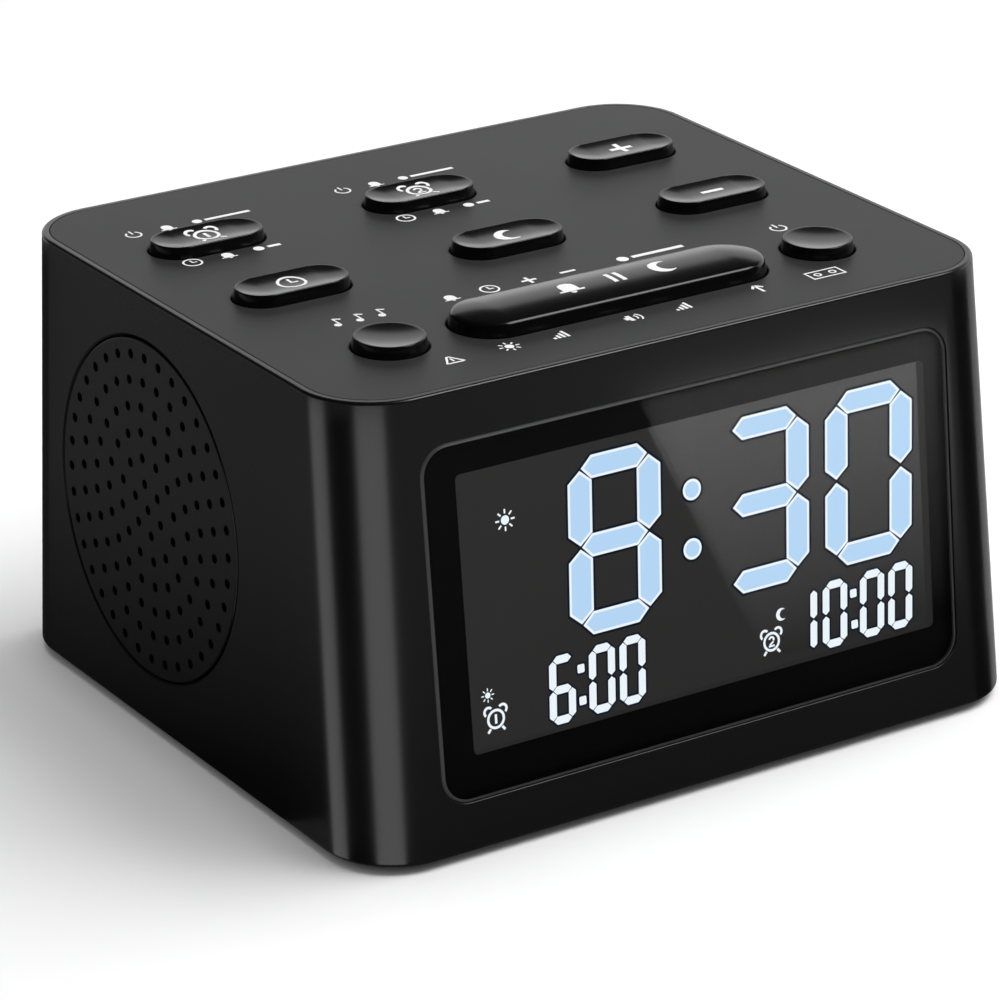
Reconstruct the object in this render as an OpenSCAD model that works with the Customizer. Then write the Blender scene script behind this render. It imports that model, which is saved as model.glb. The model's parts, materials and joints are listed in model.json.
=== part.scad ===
// Bedside sound machine alarm clock: drafted housing, button deck on top, tilted display, side speaker.
// Millimetres, +Z up, front towards -Y. Origin: middle of the footprint, on the surface it stands on.

/* [Housing] */
// Width of the housing at its base
body_w = 128; // [118:1:150]
// Depth of the housing at its base
body_d = 114; // [106:1:140]
// Height of the housing without its feet
body_h = 73; // [67:1:90]
// How far each side leans in from base to top
side_draft = 2; // [0:0.5:4]
// How far the front leans back from base to top
front_draft = 8.5; // [4:0.5:12]
// How far the back leans in from base to top
back_draft = 2; // [0:0.5:4]
// Radius of the upright corners
corner_r = 12.5; // [9:0.5:14]
// Thickness of the housing wall
wall = 2.4; // [2:0.1:3]
// Width of the housing rim that shows round the top panel
rim_w = 1.2; // [0.8:0.1:1.6]
// Width of the ledge that the top panel rests on, past the wall
ledge_w = 1.4; // [1:0.1:2]
// Thickness of that ledge
ledge_t = 2; // [1.5:0.1:3]

/* [Top panel] */
// Thickness of the top panel
panel_t = 2; // [1.6:0.1:2.6]
// Seam between the panel and the rim
seam = 0.15; // [0.1:0.05:0.4]
// Distance of the panel screws from the outer faces
tab_inset = 9; // [8:0.5:11]
// Thickness of the corner tabs under the panel
tab_t = 3; // [2:0.5:4]
// Length of the panel's corner bosses
tab_drop = 3; // [2:0.5:5]

/* [Buttons] */
// Outer button columns from the side edges of the top
column_in = 21.4; // [18:0.2:28]
// How far the button columns lie to the right of the middle
column_shift = -0.5; // [-1:0.1:1]
// Rear button row from the back edge of the top
rear_row_in = 26.85; // [24:0.05:30]
// Front button row from the front edge of the top
front_row_in = 20.65; // [18.5:0.05:25]
// Middle button row behind the line half way between those two
middle_row_back = 1.2; // [-2:0.1:2]
// Length of a pill button
pill_l = 20.2; // [16:0.2:26]
// Width of a pill button
pill_w = 9.6; // [8:0.2:14]
// Diameter of a round button
round_d = 12; // [10:0.1:16]
// Gap between the snooze bar and the round button on each side of it
snooze_side = 5.6; // [3:0.1:12]
// Width of the snooze bar
snooze_w = 13.8; // [11:0.2:17]
// Height of a cap's lip above the panel
cap_out = 1.85; // [1.4:0.05:3]
// Height of the snooze bar's lip above the panel
bar_out = 2.3; // [1.6:0.1:3.4]
// How far a cap's skirt leans in between the panel and the lip
cap_draft = 0.35; // [0.3:0.05:0.9]
// Radius of that lip
cap_lip_r = 0.2; // [0.1:0.05:0.4]
// Depth of the finger dish in a cap
dish_depth = 0.45; // [0.3:0.05:0.9]
// Rise of the crown on the snooze bar
crown_h = 0.7; // [0.3:0.1:1.2]
// Wall of a hollow cap
cap_wall = 1.2; // [0.9:0.1:1.6]
// Thickness of a cap's roof under its dish
roof_t = 1.2; // [0.9:0.1:1.6]
// Gap round a cap in its panel opening
cap_gap = 0.25; // [0.15:0.05:0.5]
// Width of the retaining flange under the panel
flange_w = 0.9; // [0.6:0.1:1.5]
// Thickness of the retaining flange
flange_t = 1.2; // [0.8:0.1:1.8]
// How far a button travels
travel = 0.5; // [0.3:0.1:0.8]
// Radius of a cap's pressing post
post_r = 2.4; // [1.8:0.1:3]
// Reach of that post below the flange
post_drop = 0.8; // [0.4:0.1:1.4]
// Radius of a switch stem
stem_r = 1.7; // [1.2:0.1:2]
// Running clearance round a switch stem
stem_gap = 0.05; // [0.03:0.01:0.1]
// Stem showing above its switch
stem_out = 1.2; // [1:0.1:2]
// Stem inside its switch
stem_in = 1.6; // [1:0.1:2]
// Width of a switch body
switch_w = 6; // [5:0.5:8]
// Height of a switch body
switch_h = 3.5; // [3:0.1:5]

/* [Display] */
// Housing left beside the lens, from the base corner
lens_side = 14.3; // [12:0.1:20]
// Housing left above the lens, along the slope
lens_over = 7.9; // [6:0.1:12]
// Housing left below the lens, along the slope
lens_under = 8.1; // [6:0.1:12]
// Corner radius of the lens
lens_r = 5; // [3:0.5:8]
// Thickness of the lens
lens_t = 1.5; // [1:0.1:1.8]
// Gap round the lens in its recess
lens_gap = 0.1; // [0.05:0.05:0.3]
// Width of the ledge that the lens is bonded to
lens_seat = 3.2; // [2:0.1:4]
// How far the display glass overlaps the window
glass_lap = 1.6; // [1:0.1:2]
// Thickness of the display glass
glass_t = 2.2; // [1.6:0.1:3]
// Thickness of the backlight
light_t = 3; // [2:0.1:4]
// Gap round the glass in its frame
glass_gap = 0.2; // [0.1:0.05:0.4]
// Side wall of the display frame
frame_wall = 2; // [1.4:0.1:3]
// Back wall of the display frame
frame_back = 1.5; // [1:0.1:2.5]
// Thickness of the frame's screw ears
ear_t = 2; // [1.5:0.1:3]
// Reach of a screw ear past the frame
ear_reach = 3.4; // [3:0.1:4]
// Radius of a screw ear
ear_r = 2.6; // [2.2:0.1:3]
// Length of the front wall bosses
front_boss = 3; // [2:0.1:4]
// Ears above and below the middle of the display
ear_spread = 13; // [9:0.5:18]
// Length of the posts that carry the main board
board_post = 5; // [3:0.5:8]

/* [Circuit boards] */
// Thickness of a circuit board
board_t = 1.6; // [1:0.1:2]
// Board left round its outermost switch or post
board_margin = 2.6; // [2:0.1:4]
// Main board screws from the middle, across and along the slope
main_across = 42; // [34:1:46]
main_along = 18; // [14:1:20]
// Radius of a board boss
boss_r = 2.6; // [2.2:0.1:3.2]
// Thickness of the flat ribbon cable
ribbon_t = 0.5; // [0.3:0.1:0.8]
// Width of the flat ribbon cable
ribbon_w = 14; // [8:1:20]
// Height and depth of a ribbon socket
socket_h = 2.5; // [2:0.1:4]
socket_d = 4; // [3:0.5:6]

/* [Speaker] */
// Radius of the grille disc
grille_r = 28.15; // [24:0.05:30]
// Gap round the grille disc
grille_gap = 0.3; // [0.15:0.05:0.5]
// Grille centre from the back of the housing
grille_from_back = 45.3; // [42:0.1:52]
// Grille centre above half height
grille_rise = 0.8; // [-2:0.1:2]
// Rings of holes round the middle hole
ring_count = 6; // [4:1:6]
// Distance between hole rings
ring_pitch = 4.25; // [3.5:0.05:4.4]
// Diameter of a grille hole
hole_d = 1.65; // [1.2:0.05:2.2]
// Width of the grille's mounting flange past the disc
grille_flange = 2; // [1.4:0.1:2.6]
// Thickness of that flange
grille_flange_t = 1.2; // [0.8:0.1:1.6]
// Thickness of the speaker gasket
gasket_t = 1; // [0.6:0.1:1.5]
// Rim of the speaker frame inside the grille's edge
mouth_inset = 2.6; // [2:0.1:3]
// Lip of the grille's flange inside the disc's edge
lip_inset = 1.2; // [0.8:0.1:1.6]
// Thickness of the stamped speaker frame
basket_t = 0.8; // [0.6:0.1:1.2]
// Depth of the speaker frame
basket_depth = 12; // [9:0.5:15]
// Radius of the magnet
magnet_r = 14; // [11:0.5:16]
// Thickness of the magnet
magnet_t = 8; // [5:0.5:10]
// Thickness of the yoke plate
yoke_t = 3; // [2:0.5:4]
// Radius of the voice coil former
coil_r = 6.8; // [5:0.1:8]
// Wall of the voice coil former
coil_t = 0.3; // [0.2:0.05:0.5]
// Voice coil former in front of the speaker frame's back, and behind it in the magnet
coil_rise = 5; // [4:0.5:6]
coil_reach = 3; // [2:0.5:4]
// Gap on each side of the voice coil
coil_gap = 0.5; // [0.35:0.05:0.8]
// Rest gap between the cone and the surround
cone_gap = 0.9; // [0.8:0.05:0.95]
// Radius of the half roll of the surround
roll_r = 1.6; // [1.2:0.1:1.8]
// Thickness of the surround and the cone
skin_t = 0.5; // [0.4:0.05:0.8]

/* [Rear controls] */
// Diameter of a thumbwheel
wheel_d = 16; // [13:0.5:18]
// Thickness of a thumbwheel
wheel_t = 3; // [2:0.1:4]
// How far a thumbwheel stands out of the back
wheel_out = 1.4; // [1:0.1:1.4]
// Distance between the two thumbwheels
wheel_pitch = 36; // [32:1:44]
// Height of the thumbwheels above the base
wheel_up = 51; // [40:1:53]
// Gap round a thumbwheel in its slot
wheel_gap = 0.4; // [0.3:0.05:0.8]
// Notches round a thumbwheel
notch_count = 36; // [24:1:48]
// Radius of a notch
notch_r = 0.4; // [0.2:0.05:0.5]
// Radius of the potentiometer pin in the wheel
pin_r = 1.5; // [1:0.1:2]
// Running clearance round that pin
pin_gap = 0.05; // [0.03:0.01:0.1]
// Width and depth of a potentiometer
pot_w = 9; // [7:0.5:11]
pot_d = 7.6; // [6:0.2:8]
// Height of a potentiometer
pot_h = 3; // [2:0.5:4]
// Depth of the rear board
rear_board_d = 15; // [13:0.5:18]
// Width of the brackets under the rear board
bracket_w = 5.6; // [5:0.2:8]
// Height of those brackets
bracket_h = 6; // [5:0.5:9]
// Outer radius of the power socket's nose
jack_r = 4; // [3.6:0.1:4.4]
// Radius of the power socket's bore
jack_bore = 3.2; // [2.75:0.05:3.3]
// Radius of the power socket's pin
jack_pin_r = 1; // [0.65:0.05:1.2]
// Length of the power socket's body
jack_l = 11; // [9:0.5:12]

/* [Base] */
// Thickness of the base cover
base_t = 2.4; // [2:0.1:3]
// Gap round the base cover
base_gap = 0.2; // [0.1:0.05:0.4]
// Diameter of a screw pillar
pillar_d = 9; // [8:0.5:11]
// Height of a screw pillar
pillar_h = 10; // [9:0.5:12]
// Screw pillars from the side and back of the base
pillar_inset = 8.5; // [8:0.5:11]
// Front screw pillars from the front of the base
pillar_front = 31; // [29:0.5:36]
// Diameter of a rubber foot
foot_d = 10; // [8:0.5:14]
// Height of the feet below the base
foot_out = 1.2; // [0.8:0.1:3]
// Depth of the feet's seats in the base
foot_seat = 0.8; // [0.5:0.1:1.2]
// Feet from the edges of the base
foot_inset = 20; // [16:1:26]

/* [Backup cell] */
// Diameter of the coin cell
cell_d = 20; // [16:0.5:24]
// Thickness of the coin cell
cell_t = 3.2; // [2:0.1:5]
// Gap round the cell in its cup
cell_gap = 0.3; // [0.2:0.05:0.6]
// Door centre behind the middle of the base
door_y = 20; // [10:1:26]
// Thickness of the battery door
door_t = 1.4; // [1.2:0.1:1.6]
// Gap round the battery door
door_gap = 0.3; // [0.2:0.05:0.5]
// Width of the ledge and of the door's bayonet lugs
lug_w = 1.5; // [1.2:0.1:2]
// Height of a bayonet lug
lug_t = 1; // [0.8:0.1:1.5]
// Angle that a bayonet lug spans
lug_span = 32; // [20:1:40]
// Angle that the door turns to open
door_turn = 50; // [45:1:60]
// Wall of the cell cup
cup_wall = 1.5; // [1.2:0.1:2]
// Room above the cell for its leaf contact
leaf_room = 1.2; // [0.8:0.1:2]
// Thickness of a leaf contact
leaf_t = 0.3; // [0.2:0.05:0.5]

/* [Fasteners] */
// Shank radius, length, head radius and head height of a case screw
case_screw_r = 1.4; // [1.2:0.05:1.6]
case_screw_l = 8; // [6:0.5:9]
case_head_r = 2.7; // [2.3:0.1:3.2]
case_head_h = 1.2; // [0.8:0.1:1.2]
// Shank radius, length, head radius and head height of a small screw
small_screw_r = 1.1; // [0.9:0.05:1.3]
small_screw_l = 5; // [4.5:0.1:5.2]
small_head_r = 2.1; // [1.8:0.1:2.4]
small_head_h = 1.4; // [1:0.1:1.6]
// Gap round a screw in its hole
screw_gap = 0.05; // [0.03:0.01:0.1]

/* [Hidden] */
$fn = 48;
corner_steps = 14;
cut = 1;
black = "#1c1c1e";
gloss = "#0c0c0e";
dark = "#2c2c2e";
green = "#1e5a34";
steel = "#b4b6ba";
brass = "#b8964c";

base_z = foot_out;
top_z = base_z + body_h;
panel_z = top_z - panel_t;
front_tilt = atan2(front_draft, body_h);
side_tilt = atan2(side_draft, body_h);
slope_l = sqrt(front_draft * front_draft + body_h * body_h);
front_wall = wall * cos(front_tilt);
side_wall = wall * cos(side_tilt);

function lean(z) = (z - base_z) / body_h;
function half_w(z) = body_w / 2 - side_draft * lean(z);
function front_y(z) = -body_d / 2 + front_draft * lean(z);
function back_y(z) = body_d / 2 - back_draft * lean(z);

// Button deck, measured down from the top of the panel
top_mid_y = (front_y(top_z) + back_y(top_z)) / 2;
rear_row = back_y(top_z) - rear_row_in - top_mid_y;
front_row = front_y(top_z) + front_row_in - top_mid_y;
middle_row = (rear_row + front_row) / 2 + middle_row_back;
column_pitch = half_w(top_z) - column_in;
snooze_l = 2 * (column_pitch - round_d / 2 - snooze_side);
boss_across = column_pitch / 2;
cap_low = -panel_t - flange_t;
post_low = cap_low - post_drop;
dish_roof = cap_out - dish_depth - roof_t;
bar_roof = bar_out - roof_t;
switch_top = post_low - stem_out;
board_top = switch_top - switch_h;
board_low = board_top - board_t;
stem_low = switch_top - stem_in;
stem_floor = stem_low - travel - cap_gap;
// Name, column, row, length and width of each cap
BUTTONS = [
  ["alarm_one", -1, rear_row, pill_l, pill_w],
  ["alarm_two", 0, rear_row, pill_l, pill_w],
  ["set_up", 1, rear_row, pill_l, pill_w],
  ["time_set", -1, middle_row, pill_l, pill_w],
  ["sleep", 0, middle_row, pill_l, pill_w],
  ["set_down", 1, middle_row, pill_l, pill_w],
  ["sounds", -1, front_row, round_d, round_d],
  ["snooze", 0, front_row, snooze_l, snooze_w],
  ["power", 1, front_row, round_d, round_d]
];
function button_at(b) = [b[1] * column_pitch + column_shift, top_mid_y + b[2], top_z];
deck_w = 2 * (column_pitch + abs(column_shift) + switch_w / 2 + board_margin);
deck_back = top_mid_y + rear_row + switch_w / 2 + board_margin;
deck_front = top_mid_y + front_row - switch_w / 2 - board_margin;
deck_boss_rows = [(rear_row + middle_row) / 2, (middle_row + front_row) / 2];
socket_lip = 1;
socket_w = ribbon_w + 2 * socket_lip;
deck_socket = [0, deck_front + socket_d, top_z + board_low];
deck_bosses = [for (x = [-1, 1], y = deck_boss_rows) [x * boss_across, top_mid_y + y]];
panel_x = half_w(top_z) - tab_inset;
panel_screw_at = [for (x = [-1, 1], y = [front_y(top_z) + tab_inset, back_y(top_z) - tab_inset])
  [x * panel_x, y]];
tab_z = panel_z - tab_drop - tab_t;
tab_margin = 1;

// Display, in the frame of the sloping front: x across, y up the slope, z out of the face
lens_w = body_w - 2 * lens_side;
lens_h = slope_l - lens_over - lens_under;
lens_s = lens_under + lens_h / 2;
window_w = lens_w - 2 * lens_seat;
window_h = lens_h - 2 * lens_seat;
glass_w = window_w + 2 * glass_lap;
glass_h = window_h + 2 * glass_lap;
frame_w = glass_w + 2 * (glass_gap + frame_wall);
frame_h = glass_h + 2 * (glass_gap + frame_wall);
glass_r = 1;
frame_r = 2;
light_back = front_wall + glass_t + light_t;
frame_low = light_back + frame_back;
ear_front = front_wall + front_boss;
ear_low = ear_front + ear_t;
ear_at = [for (x = [-1, 1], y = [-1, 1]) [x * (frame_w / 2 + ear_reach), y * ear_spread]];
main_front = frame_low + board_post;
main_back = main_front + board_t;
board_r = 1;
main_screw_at = [for (x = [-1, 1], y = [-1, 1]) [x * main_across, y * main_along]];
main_w = 2 * (main_across + boss_r + board_margin);
main_h = 2 * (main_along + boss_r + board_margin);
main_socket_s = lens_s + main_along;
// Size and place of each chip on the main board: width, height, x, y
CHIPS = [[14, 14, -8, 2], [9, 6, 20, 6], [7, 7, -28, -4]];
chip_t = 1.6;

// Speaker, in the frame of the leaning side: x forward, y up the wall, z out of the wall
grille_s = (body_h / 2 + grille_rise) / cos(side_tilt);
grille_y = back_y(base_z + body_h / 2) - grille_from_back;
// Turn of each ring of holes, from the middle out
RING_TURN = [0, -16, 12, 0, 7, -2, 2];
grille_back = side_wall + grille_flange_t;
basket_front = grille_back + gasket_t;
basket_back = basket_front + basket_t;
plate_front = basket_back + basket_depth;
plate_back = plate_front + basket_t;
magnet_back = plate_back + magnet_t;
yoke_back = magnet_back + yoke_t;
basket_r = grille_r + grille_flange + basket_t;
basket_mouth = grille_r - mouth_inset;
lip_r = grille_r - lip_inset;
gasket_in = lip_r + grille_gap / 2;
roll_mid = basket_mouth - roll_r - skin_t;
cone_r = roll_mid - roll_r;
cone_z = basket_front + cone_gap;
coil_top = plate_front - coil_rise;
coil_low = plate_back + coil_reach;
ear_screw_out = 2.4;
speaker_ear = basket_r + ear_screw_out;
speaker_ear_r = 2.6;
lobe_r = 3.6;
// Openings in the sides of the speaker frame: width, edge left round them, turn of the frame's seam
window_w_side = 16;
window_edge = 2;
window_turn = 37;
speaker_screw_at = [for (a = [45:90:315]) speaker_ear * [cos(a), sin(a)]];

// Rear controls
wheel_z = base_z + wheel_up;
wheel_low = wheel_z - wheel_t / 2;
wheel_y = back_y(wheel_z) + wheel_out - wheel_d / 2;
rear_top = wheel_low - pot_h;
rear_low = rear_top - board_t;
rear_edge = back_y(wheel_z) - wall - wheel_gap;
rear_w = wheel_pitch + wheel_d + 2 * bracket_w;
bracket_x = rear_w / 2 - bracket_w / 2;
bracket_y = rear_edge - rear_board_d;
rear_screw_y = bracket_y + bracket_w / 2;
jack_pad = 0.8;
jack_z = rear_top + jack_r + jack_pad;
jack_face = back_y(jack_z) - wall - wheel_gap;
jack_nose = back_y(jack_z) - jack_pad;
jack_depth = 9;
jack_pin_inset = 1;

// Base and backup cell, heights above the base
pillar_x = body_w / 2 - pillar_inset;
case_screw_at = [for (x = [-1, 1], y = [-body_d / 2 + pillar_front, body_d / 2 - pillar_inset])
  [x * pillar_x, y]];
head_gap = 0.4;
head_sink = case_head_h + screw_gap * 4;
foot_at = [for (x = [-1, 1], y = [-1, 1])
  [x * (body_w / 2 - foot_inset), y * (body_d / 2 - foot_inset)]];
cell_room = 2;
door_core = cell_d / 2 + cell_room;
door_r = door_core + lug_w + door_gap;
cup_low = base_t + lug_t + door_gap;
cup_in = door_core + lug_w + 2 * door_gap;
cell_low = cup_low;
cell_top = cell_low + cell_t;
cup_top = cell_top + leaf_room;
lug_turns = [0, 120, 240];

// Speaker leads: radius, radius at a bend, straight run at each end, spacing, place on the main board
lead_r = 0.6;
lead_bend_r = 0.7;
lead_run = 4;
lead_space = 3;
lead_x = -22;

// Shared shapes

function arc(x, y, r, from) = [for (i = [0:corner_steps])
  [x + r * cos(from + 90 * i / corner_steps), y + r * sin(from + 90 * i / corner_steps)]];

// Rounded outline of the housing at one height, moved in by an inset
function outline(inset, z) = let (
    r = corner_r - inset,
    x = half_w(z) - corner_r,
    back = back_y(z) - corner_r,
    front = front_y(z) + corner_r
  ) concat(arc(x, back, r, 0), arc(-x, back, r, 90), arc(-x, front, r, 180), arc(x, front, r, 270));

// Drafted solid between two heights of that outline
module loft(inset, z0, z1) {
  low = [for (p = outline(inset, z0)) [p[0], p[1], z0]];
  high = [for (p = outline(inset, z1)) [p[0], p[1], z1]];
  n = len(low);
  polyhedron(
    points = concat(low, high),
    faces = concat(
      [[for (i = [0:n - 1]) i]],
      [[for (i = [n - 1:-1:0]) n + i]],
      [for (i = [0:n - 1]) [i, n + i, n + (i + 1) % n, (i + 1) % n]]
    )
  );
}

// Places its children on the sloping front, at a distance up the slope
module on_front(s) {
  translate([0, -body_d / 2, base_z])
    rotate([90 - front_tilt, 0, 0])
      translate([0, s, 0])
        children();
}

// Places its children on the left wall, at the middle of the grille
module on_side() {
  translate([-body_w / 2, grille_y, base_z])
    rotate([0, side_tilt, 0])
      translate([0, 0, grille_s])
        rotate([90, 0, -90])
          children();
}

// Point on the display's slope or behind the grille, as places in the whole part
function front_point(x, s, depth) = [
  x,
  -body_d / 2 + s * sin(front_tilt) + depth * cos(front_tilt),
  base_z + s * cos(front_tilt) - depth * sin(front_tilt)
];
function side_point(x, s, depth) = [
  -body_w / 2 + (grille_s + s) * sin(side_tilt) + depth * cos(side_tilt),
  grille_y - x,
  base_z + (grille_s + s) * cos(side_tilt) - depth * sin(side_tilt)
];

module rounded_rect(w, h, r) {
  square([w - 2 * r, h], center = true);
  square([w, h - 2 * r], center = true);
  for (x = [-1, 1], y = [-1, 1])
    translate([x * (w / 2 - r), y * (h / 2 - r)])
      circle(r);
}

module stadium(l, w) {
  for (x = [-1, 1])
    translate([x * (l - w) / 2, 0])
      circle(d = w);
  if (l > w)
    square([l - w, w], center = true);
}

// Carries a half profile round a stadium outline
module stadium_sweep(l, w) {
  if (l > w) {
    for (turn = [0, 180])
      rotate(turn)
        translate([(l - w) / 2, 0, 0])
          rotate(-90)
            rotate_extrude(angle = 180)
              children();
    rotate([90, 0, 90])
      linear_extrude(l - w, center = true) {
        children();
        mirror([1, 0])
          children();
      }
  } else {
    rotate_extrude()
      children();
  }
}

// Plate with its front face at a depth behind the face it is placed on
module plate(w, h, r, depth, thick) {
  translate([0, 0, -depth - thick])
    linear_extrude(thick)
      rounded_rect(w, h, r);
}

module ring(outer, inner, low, high) {
  difference() {
    translate([0, 0, low])
      cylinder(r = outer, h = high - low);
    translate([0, 0, low - cut])
      cylinder(r = inner, h = high - low + 2 * cut);
  }
}

module tube(r, from, to) {
  run = to - from;
  l = norm(run);
  translate(from)
    rotate([0, acos(run[2] / l), atan2(run[1], run[0])])
      cylinder(r = r, h = l);
}

// Screw that bears at z 0, with its shank up and its head down
module screw(r, l, head_r, head_h) {
  translate([0, 0, -head_h])
    cylinder(r = head_r, h = head_h);
  cylinder(r = r, h = l);
}

module case_screw() {
  screw(case_screw_r, case_screw_l, case_head_r, case_head_h);
}

module small_screw() {
  screw(small_screw_r, small_screw_l, small_head_r, small_head_h);
}

// Hole for a screw that bears at z 0
module pilot(r, l) {
  translate([0, 0, -cut])
    cylinder(r = r + screw_gap, h = l + screw_gap + cut);
}

// Casing

module pillar(at) {
  side = sign(at[0]);
  translate([at[0], at[1], base_z + base_t]) {
    cylinder(d = pillar_d, h = pillar_h);
    translate([side > 0 ? 0 : -2 * pillar_inset, -pillar_d / 4, 0])
      cube([2 * pillar_inset, pillar_d / 2, pillar_h]);
  }
}

module corner_tab(at) {
  reach = 2 * tab_inset;
  back = at[1] > top_mid_y;
  near = boss_r + tab_margin;
  translate([at[0] > 0 ? at[0] - near : at[0] + near - reach,
             back ? at[1] - near : at[1] + near - reach, tab_z])
    cube([reach, reach, tab_t]);
}

module shell_fittings() {
  for (at = case_screw_at)
    pillar(at);
  for (at = panel_screw_at)
    corner_tab(at);
  for (side = [-1, 1])
    translate([side * bracket_x - bracket_w / 2, bracket_y, rear_low - bracket_h])
      cube([bracket_w, body_d / 2 - bracket_y, bracket_h]);
  on_front(lens_s)
    for (at = ear_at)
      translate([at[0], at[1], -ear_front])
        cylinder(r = ear_r, h = ear_front);
  on_side()
    for (at = speaker_screw_at)
      translate([at[0], at[1], -basket_front])
        cylinder(r = speaker_ear_r, h = basket_front);
}

module shell_cuts() {
  on_front(lens_s) {
    plate(lens_w, lens_h, lens_r, -cut, lens_t + cut);
    plate(window_w, window_h, lens_r - lens_seat / 2, 0, front_wall + cut);
    for (at = ear_at)
      translate([at[0], at[1], -ear_low])
        pilot(small_screw_r, small_screw_l);
  }
  on_side() {
    translate([0, 0, -side_wall - cut])
      cylinder(r = grille_r + grille_gap, h = side_wall + 2 * cut);
    for (at = speaker_screw_at)
      translate([at[0], at[1], -basket_back])
        pilot(small_screw_r, small_screw_l);
  }
  for (side = [-1, 1])
    translate([side * wheel_pitch / 2, wheel_y, wheel_low - wheel_gap])
      cylinder(r = wheel_d / 2 + wheel_gap, h = wheel_t + 2 * wheel_gap);
  translate([0, jack_face, jack_z])
    rotate([-90, 0, 0])
      cylinder(r = jack_r + wheel_gap, h = body_d / 2);
  for (at = case_screw_at)
    translate([at[0], at[1], base_z + head_sink])
      pilot(case_screw_r, case_screw_l);
  for (at = panel_screw_at)
    translate([at[0], at[1], tab_z])
      pilot(small_screw_r, tab_t);
  for (side = [-1, 1])
    translate([side * bracket_x, rear_screw_y, rear_top])
      rotate([180, 0, 0])
        pilot(small_screw_r, small_screw_l);
}

module body_shell() {
  color(black)
    difference() {
      union() {
        difference() {
          loft(0, base_z, top_z);
          loft(wall, base_z - cut, panel_z - ledge_t);
          loft(wall + ledge_w, panel_z - ledge_t - cut, panel_z + cut);
          loft(rim_w, panel_z, top_z + cut);
        }
        intersection() {
          loft(wall / 2, base_z, panel_z - ledge_t / 2);
          shell_fittings();
        }
      }
      shell_cuts();
    }
}

module top_panel() {
  color(dark)
    difference() {
      union() {
        loft(rim_w + seam, panel_z, top_z);
        for (at = panel_screw_at)
          translate([at[0], at[1], tab_z + tab_t])
            cylinder(r = boss_r, h = tab_drop + panel_t / 2);
        for (at = deck_bosses)
          translate([at[0], at[1], top_z + board_top])
            cylinder(r = boss_r, h = panel_z - top_z - board_top + panel_t / 2);
      }
      for (b = BUTTONS)
        translate(button_at(b) + [0, 0, -panel_t - cut])
          linear_extrude(panel_t + 2 * cut)
            stadium(b[3] + 2 * cap_gap, b[4] + 2 * cap_gap);
      for (at = panel_screw_at)
        translate([at[0], at[1], tab_z])
          pilot(small_screw_r, small_screw_l);
      for (at = deck_bosses)
        translate([at[0], at[1], top_z + board_low])
          pilot(small_screw_r, small_screw_l);
    }
}

module panel_screws() {
  color(steel)
    for (at = panel_screw_at)
      translate([at[0], at[1], tab_z])
        small_screw();
}

module bayonet(r, low, high, spare) {
  for (turn = lug_turns)
    rotate(turn)
      rotate(-lug_span / 2 - spare)
        rotate_extrude(angle = lug_span + 2 * spare)
          translate([door_core - lug_w, low])
            square([r - door_core + lug_w, high - low]);
}

module base_cover() {
  lug_spare = asin(door_gap / door_core) * 2;
  color(black)
    difference() {
      union() {
        loft(wall + base_gap, base_z, base_z + base_t);
        translate([0, door_y, base_z]) {
          translate([0, 0, base_t / 2])
            cylinder(r = cup_in + cup_wall, h = cup_low - base_t / 2 + cup_wall);
          translate([0, 0, cup_low])
            cylinder(r = cell_d / 2 + cell_gap + cup_wall, h = cup_top - cup_low + cup_wall);
        }
      }
      translate([0, door_y, base_z]) {
        translate([0, 0, -cut])
          cylinder(r = door_r + door_gap, h = door_t + cut);
        cylinder(r = door_core + door_gap, h = cup_low);
        rotate(-door_turn)
          bayonet(door_core + lug_w + door_gap, 0, cup_low, lug_spare);
        translate([0, 0, base_t])
          cylinder(r = cup_in, h = cup_low - base_t);
        cylinder(r = cell_d / 2 + cell_gap, h = cup_top);
      }
      for (at = case_screw_at)
        translate([at[0], at[1], base_z - cut]) {
          cylinder(r = case_head_r + head_gap, h = head_sink + cut);
          cylinder(r = case_screw_r + screw_gap, h = base_t + 2 * cut);
        }
      for (at = foot_at)
        translate([at[0], at[1], base_z - cut])
          cylinder(d = foot_d, h = foot_seat + cut);
    }
}

module rubber_feet() {
  color(dark)
    for (at = foot_at)
      translate([at[0], at[1], 0])
        cylinder(d = foot_d, h = foot_out + foot_seat);
}

module case_screws() {
  color(steel)
    for (at = case_screw_at)
      translate([at[0], at[1], base_z + head_sink])
        case_screw();
}

// Display

module display_lens() {
  color(gloss)
    on_front(lens_s)
      plate(lens_w - 2 * lens_gap, lens_h - 2 * lens_gap, lens_r - lens_gap, 0, lens_t);
}

module lcd_panel() {
  color("#3a3f3c")
    on_front(lens_s)
      plate(glass_w, glass_h, glass_r, front_wall, glass_t);
}

module backlight_panel() {
  color("white")
    on_front(lens_s)
      plate(glass_w, glass_h, glass_r, front_wall + glass_t, light_t);
}

module lcd_frame() {
  color("whitesmoke")
    on_front(lens_s)
      difference() {
        union() {
          plate(frame_w, frame_h, frame_r, front_wall, frame_low - front_wall);
          for (at = ear_at) {
            translate([at[0], at[1], -ear_low])
              cylinder(r = ear_r, h = ear_t);
            translate([at[0] / 2 - abs(at[0]) / 4, at[1] - ear_r, -ear_low])
              translate([sign(at[0]) * abs(at[0]) / 4, 0, 0])
                cube([abs(at[0]) / 2, 2 * ear_r, ear_t]);
          }
          for (at = main_screw_at)
            translate([at[0], at[1], -main_front])
              cylinder(r = boss_r, h = board_post + frame_back / 2);
        }
        plate(glass_w + 2 * glass_gap, glass_h + 2 * glass_gap, glass_r + glass_gap, front_wall - cut,
          glass_t + light_t + cut);
        for (at = ear_at)
          translate([at[0], at[1], -ear_low])
            pilot(small_screw_r, ear_t + cut);
        for (at = main_screw_at)
          translate([at[0], at[1], -main_back])
            pilot(small_screw_r, small_screw_l);
      }
}

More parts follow.
